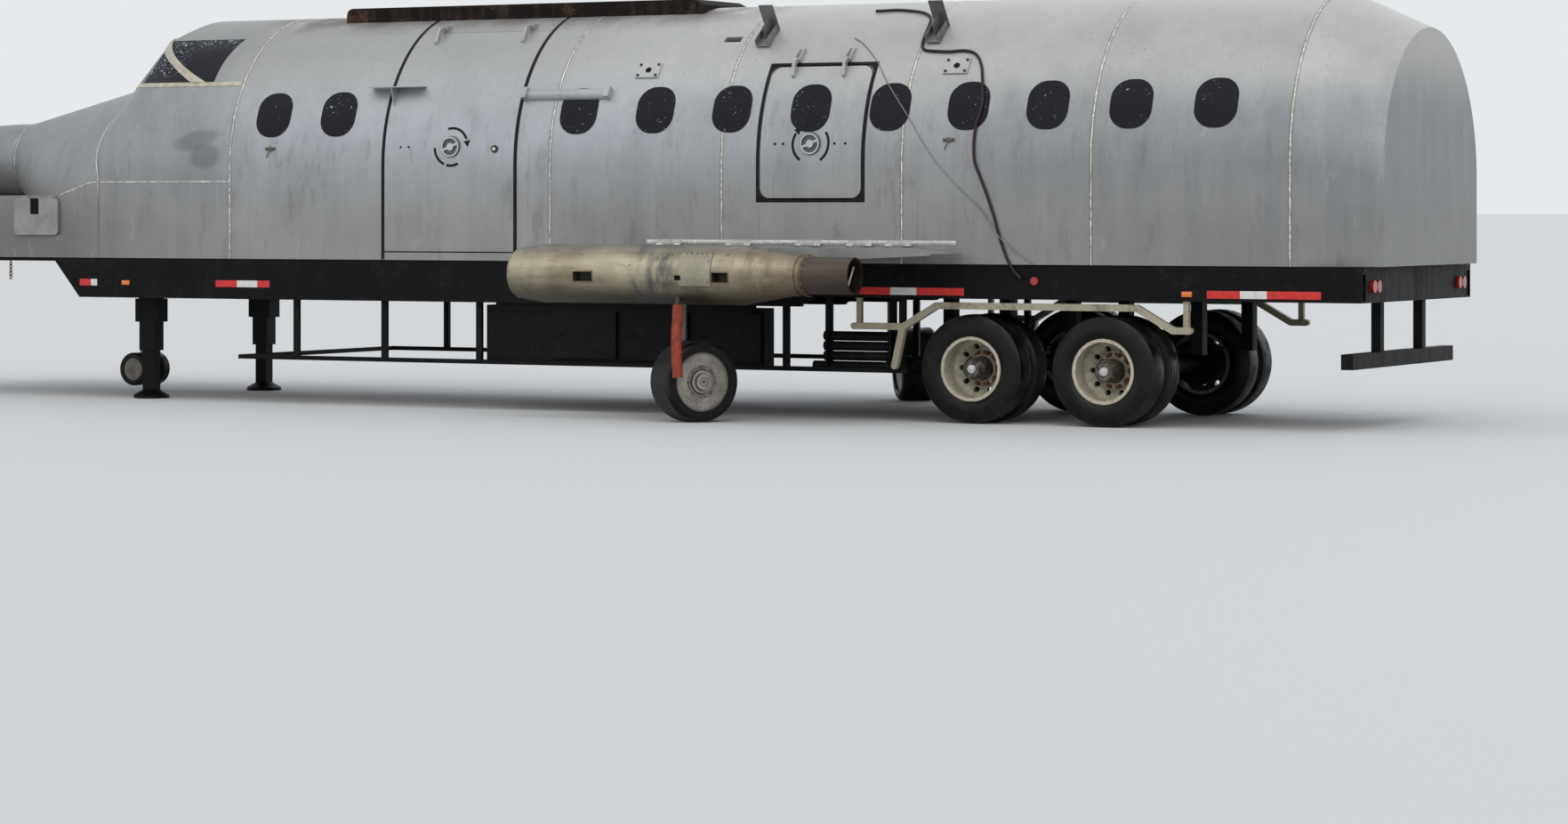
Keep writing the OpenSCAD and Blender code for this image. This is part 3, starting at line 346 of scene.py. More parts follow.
@dataclass(frozen=True)
class SheetSteel(Finish):
    """Weathered sheet of the fuselage: streaked grey, sooty under the pan, with a painted highlight on the
    shoulder, a painted sheen forward and painted shade low on the nose, at the ends and in the handle's recess.
    """

    seams: tuple[float, ...] = ()
    handle: Pair | None = None
    face: float = 1.265
    smudges: tuple[tuple[float, float, float, float, float], ...] = ()
    soot: bool = False
    scoops: float | None = None

    def paint(self, g: Graph) -> None:
        """Fill the graph with this finish.

        Args:
            g: The graph of its material.
        """
        streak = g.noise((6.0, 6.0, 0.28), 5.0)
        fine = g.noise((70.0, 70.0, 1.6), 3.0)
        blotch = g.noise((1.3, 1.3, 1.6), 6.0, 0.6, 3.0)
        cloud = g.noise((0.5, 0.5, 0.9), 3.0, 0.5, 9.0)
        shade = (streak - 0.5) * 0.7 + (fine - 0.5) * 0.35 + (blotch - 0.5) * 0.8 + (cloud - 0.5) * 0.5 + 0.5
        g.colour = g.mix(rgb(124, 126, 128), rgb(162, 163, 163), shade.ramp(0.05, 0.95))
        # painted sheen: lighter and bluer over the forward cabin, as a painted reflection of the sky
        forward_sheen = g.x.ramp(3.4, 0.5) * g.x.ramp(-4.4, -1.6) * g.z.ramp(1.5, 2.1)
        g.over(rgb(178, 181, 188), forward_sheen * (blotch * 0.5 + 0.2))
        # painted highlight: the shoulder is paler, more so aft of the middle
        shoulder = g.z.ramp(2.2, 2.85) * (blotch * 0.6 + 0.55)
        pale = g.mix(rgb(162, 160, 153), rgb(192, 190, 184), g.x.ramp(0.0, 1.6))
        g.over(pale, shoulder * 0.65)
        # painted shade: darker low on the nose
        chin_shade = g.x.ramp(-3.2, -4.6) * g.z.ramp(1.9, 1.35)
        g.over(rgb(84, 83, 81), chin_shade * 0.75)
        # painted shade: darker towards the rear below the shoulder, and over the cockpit
        ends = (g.x.ramp(2.2, 5.2) * g.z.ramp(2.7, 2.3)).most(g.x.ramp(-2.5, -3.1))
        g.over(rgb(104, 106, 110), ends * 0.30)
        low = g.z.ramp(2.25, 1.25) * (streak * 0.6 + cloud * 0.5)
        g.over(rgb(126, 123, 115), low * 0.65)
        grime = g.noise((9.0, 9.0, 2.4), 6.0, 0.65, 12.0)
        g.over(rgb(98, 95, 88), grime.ramp(0.52, 0.72) * g.z.ramp(2.9, 1.9) * 0.4)
        g.over(rgb(178, 176, 170), grime.ramp(0.40, 0.26) * 0.3)
        drips = g.noise((26.0, 26.0, 0.5), 4.0, 0.6, 5.0).ramp(0.56, 0.72)
        g.over(rgb(112, 113, 114), drips * 0.22)
        specks = g.noise((34.0, 34.0, 30.0), 2.0, 0.5, 2.0).ramp(0.7, 0.78)
        g.over(rgb(92, 88, 84), specks * 0.5)
        for seam in self.seams:
            edge = abs(g.x - seam).ramp(0.022, 0.006)
            g.over(rgb(86, 82, 74), edge * (fine * 0.9 + 0.1))
        for x, z, wide, high, lean in self.smudges:
            along = (g.x - x) + (g.z - z) * lean
            across = (g.z - z) - (g.x - x) * lean
            spot = ((along / wide) ** 2 + (across / high) ** 2).root()
            cover = (spot + (blotch - 0.5) * 0.5).ramp(1.15, 0.55) * g.y.ramp(0.1, -0.1)
            g.over(rgb(88, 90, 96), cover * (fine * 0.5 + 0.28))
        rough = shade * 0.16 + 0.36
        if self.scoops is not None:
            cover = g.z.ramp(self.scoops, self.scoops + 0.06) * (blotch * 0.8 + fine * 0.5)
            g.over(rgb(48, 42, 40), cover.ramp(0.1, 0.9) * 0.85)
        if self.soot:
            near = g.z.ramp(2.96, 3.2) * g.x.ramp(-3.1, -2.4) * g.x.ramp(2.2, 1.2)
            cover = near * g.noise((3.0, 3.0, 1.0), 5.0, 0.6, 7.0).ramp(0.3, 0.62)
            g.over(rgb(78, 66, 58), cover * 0.85)
            rough = rough + cover * 0.25
        if self.handle:
            reach = g.distance(*self.handle)
            # painted shade: the deep part of the handle's recess is dark
            sunk = reach.ramp(0.069, 0.067) * (abs(g.y) - self.face).ramp(0.0135, 0.0115)
            g.over(rgb(190, 191, 192), reach.ramp(0.082, 0.079) * 0.75)
            g.over(rgb(46, 44, 43), reach.within(0.079, 0.088, 0.002) * 0.7)
            g.over(rgb(44, 42, 42), sunk * 0.85)
            rough = rough - reach.ramp(0.082, 0.079) * 0.14
        g.set(Base_Color=g.colour, Roughness=rough, Metallic=0.42)
        g.bump(blotch * 0.8 + fine * 0.04, 0.010, 0.35)


@dataclass(frozen=True)
class HeatedSteel(Finish):
    """Bare steel of a nacelle with soot bands and the heat tint towards its exhaust, a painted highlight band, and
    painted shade over its top, underneath and inside its pockets.
    """

    bands: tuple[Point, ...] = ((1.64, 1.71, 0.85), (1.77, 1.98, 0.8), (2.55, 2.78, 0.5))
    pockets: tuple[Pair, ...] = ((1.142, 1.303), (2.312, 2.445))
    pipe_x: float = 2.985

    def paint(self, g: Graph) -> None:
        """Fill the graph with this finish.

        Args:
            g: The graph of its material.
        """
        grain = g.noise((1.5, 22.0, 22.0), 4.0)
        blotch = g.noise((3.0, 3.0, 3.0), 6.0, 0.6, 2.0)
        cloud = g.noise((0.9, 1.4, 1.4), 3.0, 0.5, 6.0)
        shade = (grain - 0.5) * 0.6 + (blotch - 0.5) * 1.2 + (cloud - 0.5) * 0.8 + 0.5
        g.colour = g.mix(rgb(108, 97, 78), rgb(176, 168, 144), shade.ramp(0.05, 0.95))
        # painted highlight: a lighter band a little above the nacelle's middle
        g.over(rgb(186, 176, 152), g.z.within(1.14, 1.22, 0.05) * (blotch * 0.9))
        # painted shade: greyer and darker over the top
        g.over(rgb(98, 97, 98), g.z.ramp(1.22, 1.32) * (cloud * 0.5 + 0.35))
        scuffs = g.noise((7.0, 26.0, 26.0), 6.0, 0.7, 9.0)
        g.over(rgb(70, 62, 52), scuffs.ramp(0.56, 0.70) * 0.45)
        # painted shade: dark brown underneath
        g.over(rgb(44, 38, 30), g.z.ramp(1.09, 0.91) * (cloud * 0.5 + 0.60))
        drag = g.noise((16.0, 5.0, 5.0), 5.0, 0.65, 4.0)
        for low, high, depth in self.bands:
            cover = g.x.within(low, high, 0.03) * drag.ramp(0.36, 0.62)
            tint = rgb(66, 68, 74) if low < 2.2 else rgb(86, 66, 46)
            g.over(tint, cover * depth)
        # painted shade: inside each pocket, below the skin, is nearly black
        height = g.z.within(1.048, 1.120, 0.006)
        reach = ((abs(g.y) - NACELLE[0]) ** 2 + (g.z - NACELLE[1]) ** 2).root()
        for low, high in self.pockets:
            rim = g.x.within(low - 0.012, high + 0.012, 0.006) * g.z.within(1.036, 1.132, 0.006)
            g.over(rgb(104, 74, 46), rim * blotch.ramp(0.35, 0.6) * 0.8)
            g.over(rgb(14, 11, 9), g.x.within(low, high, 0.003) * height * reach.ramp(0.220, 0.214))
        cone = g.x.ramp(2.40, self.pipe_x) * (blotch * 0.6 + 0.4)
        g.over(rgb(100, 83, 62), cone * 0.75)
        weld = abs(g.x - (self.pipe_x + 0.03)).ramp(0.06, 0.02)
        g.over(rgb(58, 44, 40), weld * 0.8)
        pipe = g.x.ramp(self.pipe_x + 0.02, self.pipe_x + 0.05)
        hot = g.mix(rgb(48, 41, 36), rgb(82, 70, 60), (cloud + (grain - 0.5) * 0.5).ramp(0.3, 0.7))
        g.over(hot, pipe)
        g.set(Base_Color=g.colour, Roughness=shade * 0.2 + 0.3, Metallic=0.55)
        g.bump(blotch * 0.9 + grain * 0.1, 0.012, 0.5)


@dataclass(frozen=True)
class OldPaint(Finish):
    """Paint with dust, chips and a rusty or dirty tint where it wears."""

    base: Colour = rgb(8, 8, 10)
    worn: Colour = rgb(34, 31, 29)
    wear: float = 0.4
    rough: float = 0.5
    metal: float = 0.0
    dust: Colour = rgb(88, 86, 80)
    dusty: float = 0.05
    shine: float = 0.12

    def paint(self, g: Graph) -> None:
        """Fill the graph with this finish.

        Args:
            g: The graph of its material.
        """
        blotch = g.noise((4.0, 4.0, 4.0), 6.0, 0.62)
        fine = g.noise((40.0, 40.0, 40.0), 3.0, 0.5, 4.0)
        run = g.noise((14.0, 14.0, 1.2), 4.0, 0.6, 8.0)
        chip = (blotch + (fine - 0.5) * 0.5).ramp(0.56, 0.68)
        g.colour = g.mix(self.base, self.worn, chip * self.wear)
        film = (run * 0.6 + blotch * 0.5 + (fine - 0.5) * 0.3).ramp(0.5, 0.75)
        g.over(self.dust, film * self.dusty)
        g.set(Base_Color=g.colour, Roughness=self.rough + film * 0.2, Metallic=self.metal)
        g.set(Specular_IOR_Level=self.shine)
        g.bump(fine * 0.5 + chip * 0.5, 0.0012, 0.6)


@dataclass(frozen=True)
class Rubber(Finish):
    """Worn tyre rubber, wet in patches and dusty in its grooves."""

    hub: Point = (0.0, 0.0, 0.0)
    turn: float = 0.0
    bead: float = 0.24
    outer: float = 0.405

    def paint(self, g: Graph) -> None:
        """Fill the graph with this finish.

        Args:
            g: The graph of its material.
        """
        fine = g.noise((90.0, 90.0, 90.0), 3.0)
        blotch = g.noise((7.0, 7.0, 7.0), 5.0, 0.6, 3.0)
        reach = g.spread(self.hub, self.turn)
        g.colour = g.mix(rgb(9, 9, 10), rgb(23, 22, 21), (blotch + (fine - 0.5) * 0.6).ramp(0.35, 0.75))
        rings = (reach * 320.0).wave() * 0.5 + 0.5
        tread = reach.ramp(self.outer - 0.03, self.outer - 0.004)
        g.over(rgb(62, 57, 50), tread * blotch.ramp(0.4, 0.7) * 0.5)
        wet = blotch.ramp(0.62, 0.45)
        g.set(Base_Color=g.colour, Roughness=0.62 - wet * 0.3, Metallic=0.0, Specular_IOR_Level=0.2)
        side = reach.within(self.bead + 0.02, self.outer - 0.05, 0.006)
        g.bump(fine * 0.35 + rings * side * 0.4, 0.0012, 0.7)


@dataclass(frozen=True)
class RimPaint(Finish):
    """Cream rim paint with rust round the studs and the hub, and painted shade over the inner rims."""

    hub: Pair = (0.0, 0.0)

    def paint(self, g: Graph) -> None:
        """Fill the graph with this finish.

        Args:
            g: The graph of its material.
        """
        blotch = g.noise((22.0, 22.0, 22.0), 5.0, 0.62)
        fine = g.noise((120.0, 120.0, 120.0), 2.0)
        reach = g.distance(*self.hub)
        g.colour = g.mix(rgb(158, 149, 126), rgb(200, 193, 174), blotch.ramp(0.3, 0.7))
        studs = reach.within(0.098, 0.138, 0.012) * (blotch + (fine - 0.5) * 0.4).ramp(0.42, 0.58)
        g.over(rgb(120, 70, 34), studs * 0.85)
        core = reach.ramp(0.098, 0.090)
        g.over(rgb(40, 34, 32), core * (blotch.ramp(0.25, 0.6) * 0.5 + 0.5))
        flange = reach.ramp(0.222, 0.238) * (blotch + (fine - 0.5) * 0.3).ramp(0.5, 0.62)
        g.over(rgb(108, 84, 58), flange * 0.7)
        # painted shade: the rims towards the middle, between and behind the tyres, are nearly black
        inside = abs(g.y).ramp(1.02, 0.96)
        g.over(rgb(52, 48, 42), inside * 0.85)
        g.set(Base_Color=g.colour, Roughness=blotch * 0.2 + 0.3, Metallic=0.0)
        g.bump(blotch * 0.5 + fine * 0.3, 0.0015, 0.5)


@dataclass(frozen=True)
class DiscPaint(Finish):
    """Dull paint of a main gear's steel disc, with painted shadow rings round its hub, boss and centre hole, and
    dark round its bolts.
    """

    hub: Point = (0.0, 0.0, 0.0)
    turn: float = 0.0

    def paint(self, g: Graph) -> None:
        """Fill the graph with this finish.

        Args:
            g: The graph of its material.
        """
        blotch = g.noise((9.0, 9.0, 9.0), 6.0, 0.62)
        fine = g.noise((70.0, 70.0, 70.0), 3.0, 0.5, 4.0)
        reach = g.spread(self.hub, self.turn)
        g.colour = g.mix(rgb(116, 110, 102), rgb(160, 154, 144), (blotch + (fine - 0.5) * 0.3).ramp(0.3, 0.7))
        # painted shadow: dark rings round the hub, the boss and the centre hole
        for low, high, depth in ((0.086, 0.096, 0.9), (0.060, 0.066, 0.8), (0.027, 0.034, 0.7)):
            g.over(rgb(26, 24, 23), reach.within(low, high, 0.003) * depth)
        bolts = reach.within(0.100, 0.124, 0.004) * (blotch * 0.6 + fine * 0.6).ramp(0.52, 0.66)
        g.over(rgb(58, 50, 42), bolts * 0.75)
        edge = reach.ramp(0.196, 0.218) * (blotch * 0.7 + 0.3)
        g.over(rgb(62, 56, 50), edge * 0.8)
        g.set(Base_Color=g.colour, Roughness=blotch * 0.2 + 0.42, Metallic=0.15)
        g.bump(blotch * 0.5 + fine * 0.3, 0.0012, 0.5)


@dataclass(frozen=True)
class Plain(Finish):
    """A small piece's finish: one tint with a little mottling and grain."""

    base: Colour = rgb(128, 128, 128)
    spread: float = 0.25
    rough: float = 0.5
    metal: float = 0.0
    coat: float = 0.0
    grain: float = 30.0
    depth: float = 0.0006
    shine: float = 0.5

    def paint(self, g: Graph) -> None:
        """Fill the graph with this finish.

        Args:
            g: The graph of its material.
        """
        mottle = g.noise((self.grain,) * 3, 5.0, 0.6)
        fine = g.noise((self.grain * 6,) * 3, 2.0, 0.5, 3.0)
        dark = (*(c * (1 - self.spread) for c in self.base[:3]), 1.0)
        light = (*(min(1.0, c * (1 + self.spread)) for c in self.base[:3]), 1.0)
        g.colour = g.mix(dark, light, (mottle + (fine - 0.5) * 0.4).ramp(0.3, 0.7))
        g.set(Base_Color=g.colour, Roughness=self.rough + (mottle - 0.5) * 0.2, Metallic=self.metal)
        g.set(Coat_Weight=self.coat, Coat_Roughness=0.1, Specular_IOR_Level=self.shine)
        g.bump(mottle * 0.6 + fine * 0.4, self.depth, 0.6)


@dataclass(frozen=True)
class PaneFilm(Finish):
    """Dark film of the cockpit's panes, with the chips that show the bright metal under it."""

    base: Colour = rgb(11, 12, 22)
    chip: Colour = rgb(196, 200, 206)
    cockpit: bool = True

    def paint(self, g: Graph) -> None:
        """Fill the graph with this finish.

        Args:
            g: The graph of its material.
        """
        cloud = g.noise((5.0, 5.0, 5.0), 4.0, 0.6)
        grain = g.noise((60.0, 60.0, 60.0), 2.0, 0.5, 4.0)
        if self.cockpit:
            rim = (g.z.ramp(2.90, 2.99)).most(g.x.ramp(-3.30, -3.52)) * g.z.ramp(2.66, 2.72)
            chips = grain.ramp(0.62, 0.66) * rim
        else:
            chips = grain.ramp(0.70, 0.73) * cloud.ramp(0.45, 0.55)
        g.colour = g.mix(self.base, rgb(22, 23, 36), cloud.ramp(0.4, 0.75) * 0.6)
        g.over(self.chip, chips)
        g.set(Base_Color=g.colour, Roughness=chips * 0.3 + 0.28, Metallic=0.0, Specular_IOR_Level=0.16)
        g.bump(cloud * 0.5 + chips * 0.5, 0.0006, 0.5)


SKIN = SheetSteel("skin_steel_shell", "skin_steel", seams=tuple(sorted(RING_SEAMS + DOOR_SEAMS)), soot=True)
COCKPIT_SKIN = SheetSteel("skin_steel_cockpit", "skin_steel", seams=(EDGE_X, RING_SEAMS[0]), soot=True,
                          smudges=((-3.03, 2.15, 0.25, 0.090, 0.22), (-2.93, 2.02, 0.17, 0.110, 0.1)))
NOSE_SKIN = SheetSteel("skin_steel_nose", "skin_steel", seams=(NOSE_SEAM,))
DOOR_SKIN = SheetSteel("skin_steel_door", "skin_steel", handle=DOOR_HANDLE)
EXIT_SKIN = SheetSteel("skin_steel_exit", "skin_steel", handle=EXIT_HANDLE)
SCOOP_SKIN = SheetSteel("skin_steel_scoops", "skin_steel", scoops=2.80)
FLAT_STEEL = SheetSteel("skin_steel_plain", "skin_steel")
CHASSIS = OldPaint("chassis_paint", "chassis_black")
BURNT = OldPaint("burnt_pan", "burnt_steel", base=rgb(26, 21, 19), worn=rgb(78, 50, 35), wear=0.7, rough=0.75,
                 metal=0.2, dust=rgb(104, 92, 82), dusty=0.25)
FENDER_PAINT = OldPaint("fender_paint", "fender_tan", base=rgb(162, 155, 135), worn=rgb(108, 98, 80), wear=0.5,
                        rough=0.5, metal=0.25, dust=rgb(104, 98, 86), dusty=0.35)
GEAR_PAINT = OldPaint("gear_paint", "gear_steel", base=rgb(140, 136, 130), worn=rgb(92, 82, 72), wear=0.5,
                      rough=0.55, metal=0.15, dust=rgb(96, 88, 78), dusty=0.45)
GLASS_FILM = PaneFilm("window_film", "cable_black", base=rgb(15, 15, 22), cockpit=False)
PANES = PaneFilm("cockpit_film", "cable_black")
WELD = Plain("weld_bead", "skin_steel", base=rgb(198, 195, 182), spread=0.5, rough=0.45, metal=0.35, grain=34.0,
             depth=0.002)
SEAL = Plain("black_seal", "cable_black", base=rgb(20, 19, 19), spread=0.5, rough=0.6, grain=18.0, shine=0.15)
BRIGHT = Plain("bright_steel", "skin_steel", base=rgb(188, 188, 184), spread=0.2, rough=0.28, metal=0.8)
DULL = Plain("dull_steel", "skin_steel", base=rgb(92, 88, 80), spread=0.35, rough=0.5, metal=0.5)
RED_TAPE = Plain("red_tape", "lamp_red", base=rgb(196, 34, 30), spread=0.18, rough=0.35)
WHITE_TAPE = Plain("white_tape", "lamp_red", base=rgb(206, 206, 200), spread=0.12, rough=0.35)
RED_LENS = Plain("red_lens", "lamp_red", base=rgb(150, 16, 12), spread=0.15, rough=0.12, coat=0.6)
AMBER_LENS = Plain("amber_lens", "lamp_red", base=rgb(214, 110, 30), spread=0.15, rough=0.15, coat=0.6)
CABLE = Plain("cable_sheath", "cable_black", base=rgb(38, 20, 25), spread=0.4, rough=0.5, grain=40.0, shine=0.3)
WIRE = Plain("lanyard_wire", "wire_grey", base=rgb(120, 120, 120), spread=0.3, rough=0.4, metal=0.7)
SLEEVE = Plain("hose_sleeve", "hose_red", base=rgb(134, 50, 29), spread=0.4, rough=0.75, grain=18.0, depth=0.003)
LID = Plain("lid_steel", "skin_steel", base=rgb(134, 134, 134), spread=0.14, rough=0.42, metal=0.4, grain=7.0)
POST = Plain("pale_post", "skin_steel", base=rgb(176, 170, 152), spread=0.22, rough=0.5, metal=0.25, grain=14.0)
PANEL = Plain("access_panel", "heat_steel", base=rgb(146, 140, 122), spread=0.14, rough=0.42, metal=0.5, grain=9.0)
BLACK = Plain("black_plate", "cable_black", base=rgb(13, 12, 12), spread=0.3, rough=0.6, shine=0.1)
BOLT = Plain("dark_bolt", "chassis_black", base=rgb(52, 46, 42), spread=0.4, rough=0.6, metal=0.3, shine=0.3)
RUST = Plain("rusty_steel", "chassis_black", base=rgb(112, 74, 48), spread=0.4, rough=0.7, metal=0.2)


class Form:
    """A mesh under way, shaped with bmesh operators."""

    def __init__(self) -> None:
        """Start an empty mesh."""
        self.bm = bmesh.new()

    def everything(self) -> list:
        """Return all vertices, edges and faces so far."""
        return self.bm.verts[:] + self.bm.edges[:] + self.bm.faces[:]

    def grid(self, low: Pair, high: Pair, columns: int = 1, rows: int = 1) -> list:
        """Add a flat grid in X and Y.

        Args:
            low, high: Its corners.
            columns, rows: Faces along X and Y.

        Returns:
            Its vertices.
        """
        span = (high[0] - low[0], high[1] - low[1])
        centre = Matrix.Translation((low[0] + span[0] / 2, low[1] + span[1] / 2, 0))
        size = Matrix.Diagonal((span[0], span[1], 1, 1))
        made = bmesh.ops.create_grid(self.bm, x_segments=columns, y_segments=rows, size=0.5, matrix=centre @ size)
        return made["verts"]

    def rounded(self, low: Pair, high: Pair, radius: float, steps: int = 6) -> None:
        """Add one flat face with round corners.

        Args:
            low, high: Its corners.
            radius: Radius that the corners are rounded to.
            steps: Edges round each corner.
        """
        bmesh.ops.bevel(self.bm, geom=self.grid(low, high), offset=radius, offset_type="OFFSET", segments=steps,
                        profile=0.5, affect="VERTICES", material=-1)

    def split(self, spot: Vector, way: Vector, clear: bool) -> None:
        """Cut every face by a plane.

        Args:
            spot: A point on the plane.
            way: The way that the plane faces.
            clear: Whether what lies behind the plane goes.
        """
        bmesh.ops.bisect_plane(self.bm, geom=self.everything(), plane_co=spot, plane_no=way, clear_inner=clear)

    def slice_rows(self, low: float, high: float, step: float) -> None:
        """Cut every face by planes across Y, so that it can bend.

        Args:
            low, high: Where the planes start and end.
            step: Distance between them.
        """
        count = max(1, int((high - low) / step))
        for row in range(count + 1):
            self.split(Vector((0, low + (high - low) * row / count, 0)), Vector((0, 1, 0)), False)

    def cut(self, spots: Sequence[Point], keep: Point) -> None:
        """Cut by the plane through three points and drop what is not on the kept side.

        Args:
            spots: The three points.
            keep: A point on the side that stays.
        """
        a, b, c = (Vector(spot) for spot in spots)
        normal = (b - a).cross(c - a).normalized()
        if (Vector(keep) - a).dot(normal) < 0:
            normal.negate()
        self.split(a, normal, True)

    def beyond(self, axis: int, value: float, sign: int) -> None:
        """Keep what lies past a value along an axis.

        Args:
            axis: The axis, from 0 to 2.
            value: The value on it.
            sign: 1 to keep what is larger, -1 to keep what is smaller.
        """
        way = Vector((0, 0, 0))
        way[axis] = sign
        self.split(way * (sign * value), way, True)

    def thicken(self, depth: float, faces: Sequence[bmesh.types.BMFace] | None = None) -> None:
        """Turn flat faces into slabs that reach from Z 0 to a height.

        Args:
            depth: The height.
            faces: The faces, or None for all of them.
        """
        made = bmesh.ops.extrude_face_region(self.bm, geom=self.bm.faces[:] if faces is None else faces)
        top = [v for v in made["geom"] if isinstance(v, bmesh.types.BMVert)]
        bmesh.ops.translate(self.bm, vec=(0, 0, depth), verts=top)

    def swell(self, lift: float) -> None:
        """Turn all faces into a shell that stands out from them along their own normals.

        Args:
            lift: How far it stands out.
        """
        self.bm.normal_update()
        ways = {tuple(round(c, 6) for c in vert.co): vert.normal.copy() for vert in self.bm.verts}
        made = bmesh.ops.extrude_face_region(self.bm, geom=self.bm.faces[:])
        for vert in made["geom"]:
            if isinstance(vert, bmesh.types.BMVert):
                vert.co = vert.co + ways[tuple(round(c, 6) for c in vert.co)] * lift

    def rod(self, start: Point, end: Point, radius: float, sides: int = 16, tip: float | None = None) -> None:
        """Add a round bar between two points.

        Args:
            start, end: The middles of its ends.
            radius: Its radius.
            sides: Its faces round.
            tip: Its radius at the end, where that differs.
        """
        a, b = Vector(start), Vector(end)
        turn = (b - a).to_track_quat("Z", "Y").to_matrix().to_4x4()
        bmesh.ops.create_cone(
            self.bm, cap_ends=True, cap_tris=False, segments=sides, radius1=radius,
            radius2=radius if tip is None else tip, depth=(b - a).length,
            matrix=Matrix.Translation((a + b) / 2) @ turn)

    def bead(self, route: Sequence[Vector], radius: float) -> None:
        """Lay a lumpy weld bead along a row of points.

        Args:
            route: The points.
            radius: Its radius where it is about its widest.
        """
        for index, (start, end) in enumerate(zip(route, route[1:])):
            size = radius * (0.8 + 0.3 * math.sin(index * 2.3) ** 2)
            self.rod(start, end, size, 8, size * 0.85)

    def box(self, low: Point, high: Point, bevel: float = 0.0) -> None:
        """Add a box.

        Args:
            low, high: Its corners.
            bevel: Width of the bevel along its edges.
        """
        a, b = Vector(low), Vector(high)
        size = Matrix.Diagonal((*(b - a), 1))
        made = bmesh.ops.create_cube(self.bm, size=1, matrix=Matrix.Translation((a + b) / 2) @ size)
        if bevel:
            edges = list({e for v in made["verts"] for e in v.link_edges})
            bmesh.ops.bevel(self.bm, geom=edges, offset=bevel, offset_type="OFFSET", segments=2, profile=0.5,
                            affect="EDGES", material=-1)

    def turned(self, outline: Sequence[Pair], centre: Point, steps: int = 96) -> None:
        """Spin a closed outline of distance along Y and radius about an axle.

        Args:
            outline: Points as (y, radius), in order round the section.
            centre: A point on the axle.
            steps: Faces round the turn.
        """
        ring = [self.bm.verts.new((centre[0], centre[1] + y, centre[2] + r)) for y, r in outline]
        edges = [self.bm.edges.new((ring[i], ring[(i + 1) % len(ring)])) for i in range(len(ring))]
        bmesh.ops.spin(self.bm, geom=ring + edges, cent=centre, axis=(0, 1, 0), dvec=(0, 0, 0),
                       angle=math.tau, steps=steps, use_merge=True, use_duplicate=False)

    def bend(self, rule: Callable[[Vector], Vector]) -> None:
        """Move every vertex by a rule, as when sheet is rolled to a shape."""
        for vert in self.bm.verts:
            vert.co = rule(vert.co)

    def mirror(self) -> None:
        """Add the same shape on the other side of the middle."""
        copy = bmesh.ops.duplicate(self.bm, geom=self.everything())
        verts = [v for v in copy["geom"] if isinstance(v, bmesh.types.BMVert)]
        bmesh.ops.scale(self.bm, vec=(1, -1, 1), verts=verts)

    def piece(self, name: str, finish: Finish, body: str, smooth: float = 40.0) -> bpy.types.Object:
        """Close the mesh and make it a piece that rides on a body.

        Args:
            name: Name of the piece.
            finish: Its finish.
            body: The body that it moves with.
            smooth: Angle in degrees over which an edge stays sharp.

        Returns:
            The piece's object.
        """
        bmesh.ops.remove_doubles(self.bm, verts=self.bm.verts[:], dist=1e-6)
        bmesh.ops.recalc_face_normals(self.bm, faces=self.bm.faces[:])
        for face in self.bm.faces:
            face.smooth = True
        for edge in self.bm.edges:
            edge.smooth = len(edge.link_faces) == 2 and edge.calc_face_angle() < math.radians(smooth)
        mesh = bpy.data.meshes.new(name)
        self.bm.to_mesh(mesh)
        self.bm.free()
        mesh.materials.append(finish.material())
        made = bpy.data.objects.new(name, mesh)
        bpy.context.scene.collection.objects.link(made)
        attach(made, body)
        log.info("%s on %s, %d faces", name, body, len(mesh.polygons))
        return made


@dataclass(frozen=True)
class Skin:
    """The fuselage's outer surface, unrolled from the skirt's edge up and over the roof."""

    half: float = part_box("fore_shell")[1].y
    skirt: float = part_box("fore_shell")[0].z
    spring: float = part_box("fore_shell")[1].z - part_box("fore_shell")[1].y

    @property
    def wall(self) -> float:
        """Height of the flat side."""
        return self.spring - self.skirt

    @property
    def girth(self) -> float:
        """Unrolled length from one skirt edge over the roof to the other."""
        return 2 * self.wall + math.pi * self.half

    def up(self, z: float) -> float:
        """Return the unrolled length up to a height.

        Args:
            z: The height.

        Returns:
            The length from the skirt's edge.
        """
        if z < self.spring:
            return z - self.skirt
        return self.wall + self.half * math.asin(min(1.0, (z - self.spring) / self.half))

    def roll(self, side: Side) -> Callable[[Vector], Vector]:
        """Return the rule that lays a flat shape on the skin.

        Args:
            side: The side whose skirt the unrolled length starts from.

        Returns:
            A rule from (x, unrolled length, height over the skin) to a place.
        """
        def rule(flat: Vector) -> Vector:
            """Lay one point on the skin.

            Args:
                flat: The point, as (x, unrolled length, height over the skin).

            Returns:
                Its place.
            """
            out = self.half + flat.z
            bent = flat.y - self.wall
            if bent < 0:
                return Vector((flat.x, side.value * out, self.skirt + flat.y))
            angle = bent / self.half
            if angle > math.pi:
                return Vector((flat.x, -side.value * out, self.spring - (bent - math.pi * self.half)))
            return Vector((flat.x, side.value * out * math.cos(angle), self.spring + out * math.sin(angle)))
        return rule

    def spot(self, x: float, along: float, lift: float = 0.0) -> Vector:
        """Return the place over the left skin of a point given by its unrolled length."""
        return self.roll(Side.LEFT)(Vector((x, along, lift)))

    def lay(self, form: Form, thick: float, side: Side, name: str, finish: Finish, body: str) -> None:
        """Make a flat form a thin sheet on the skin.

        Args:
            form: The form, with its unrolled length along Y.
            thick: Thickness of the sheet.
            side: The side that it starts from.
            name: Name of the piece.
            finish: Its finish.
            body: The body that it rides on.
        """
        form.thicken(thick)
        form.bend(self.roll(side))
        form.piece(name, finish, body)


SKIN_SHAPE = Skin()


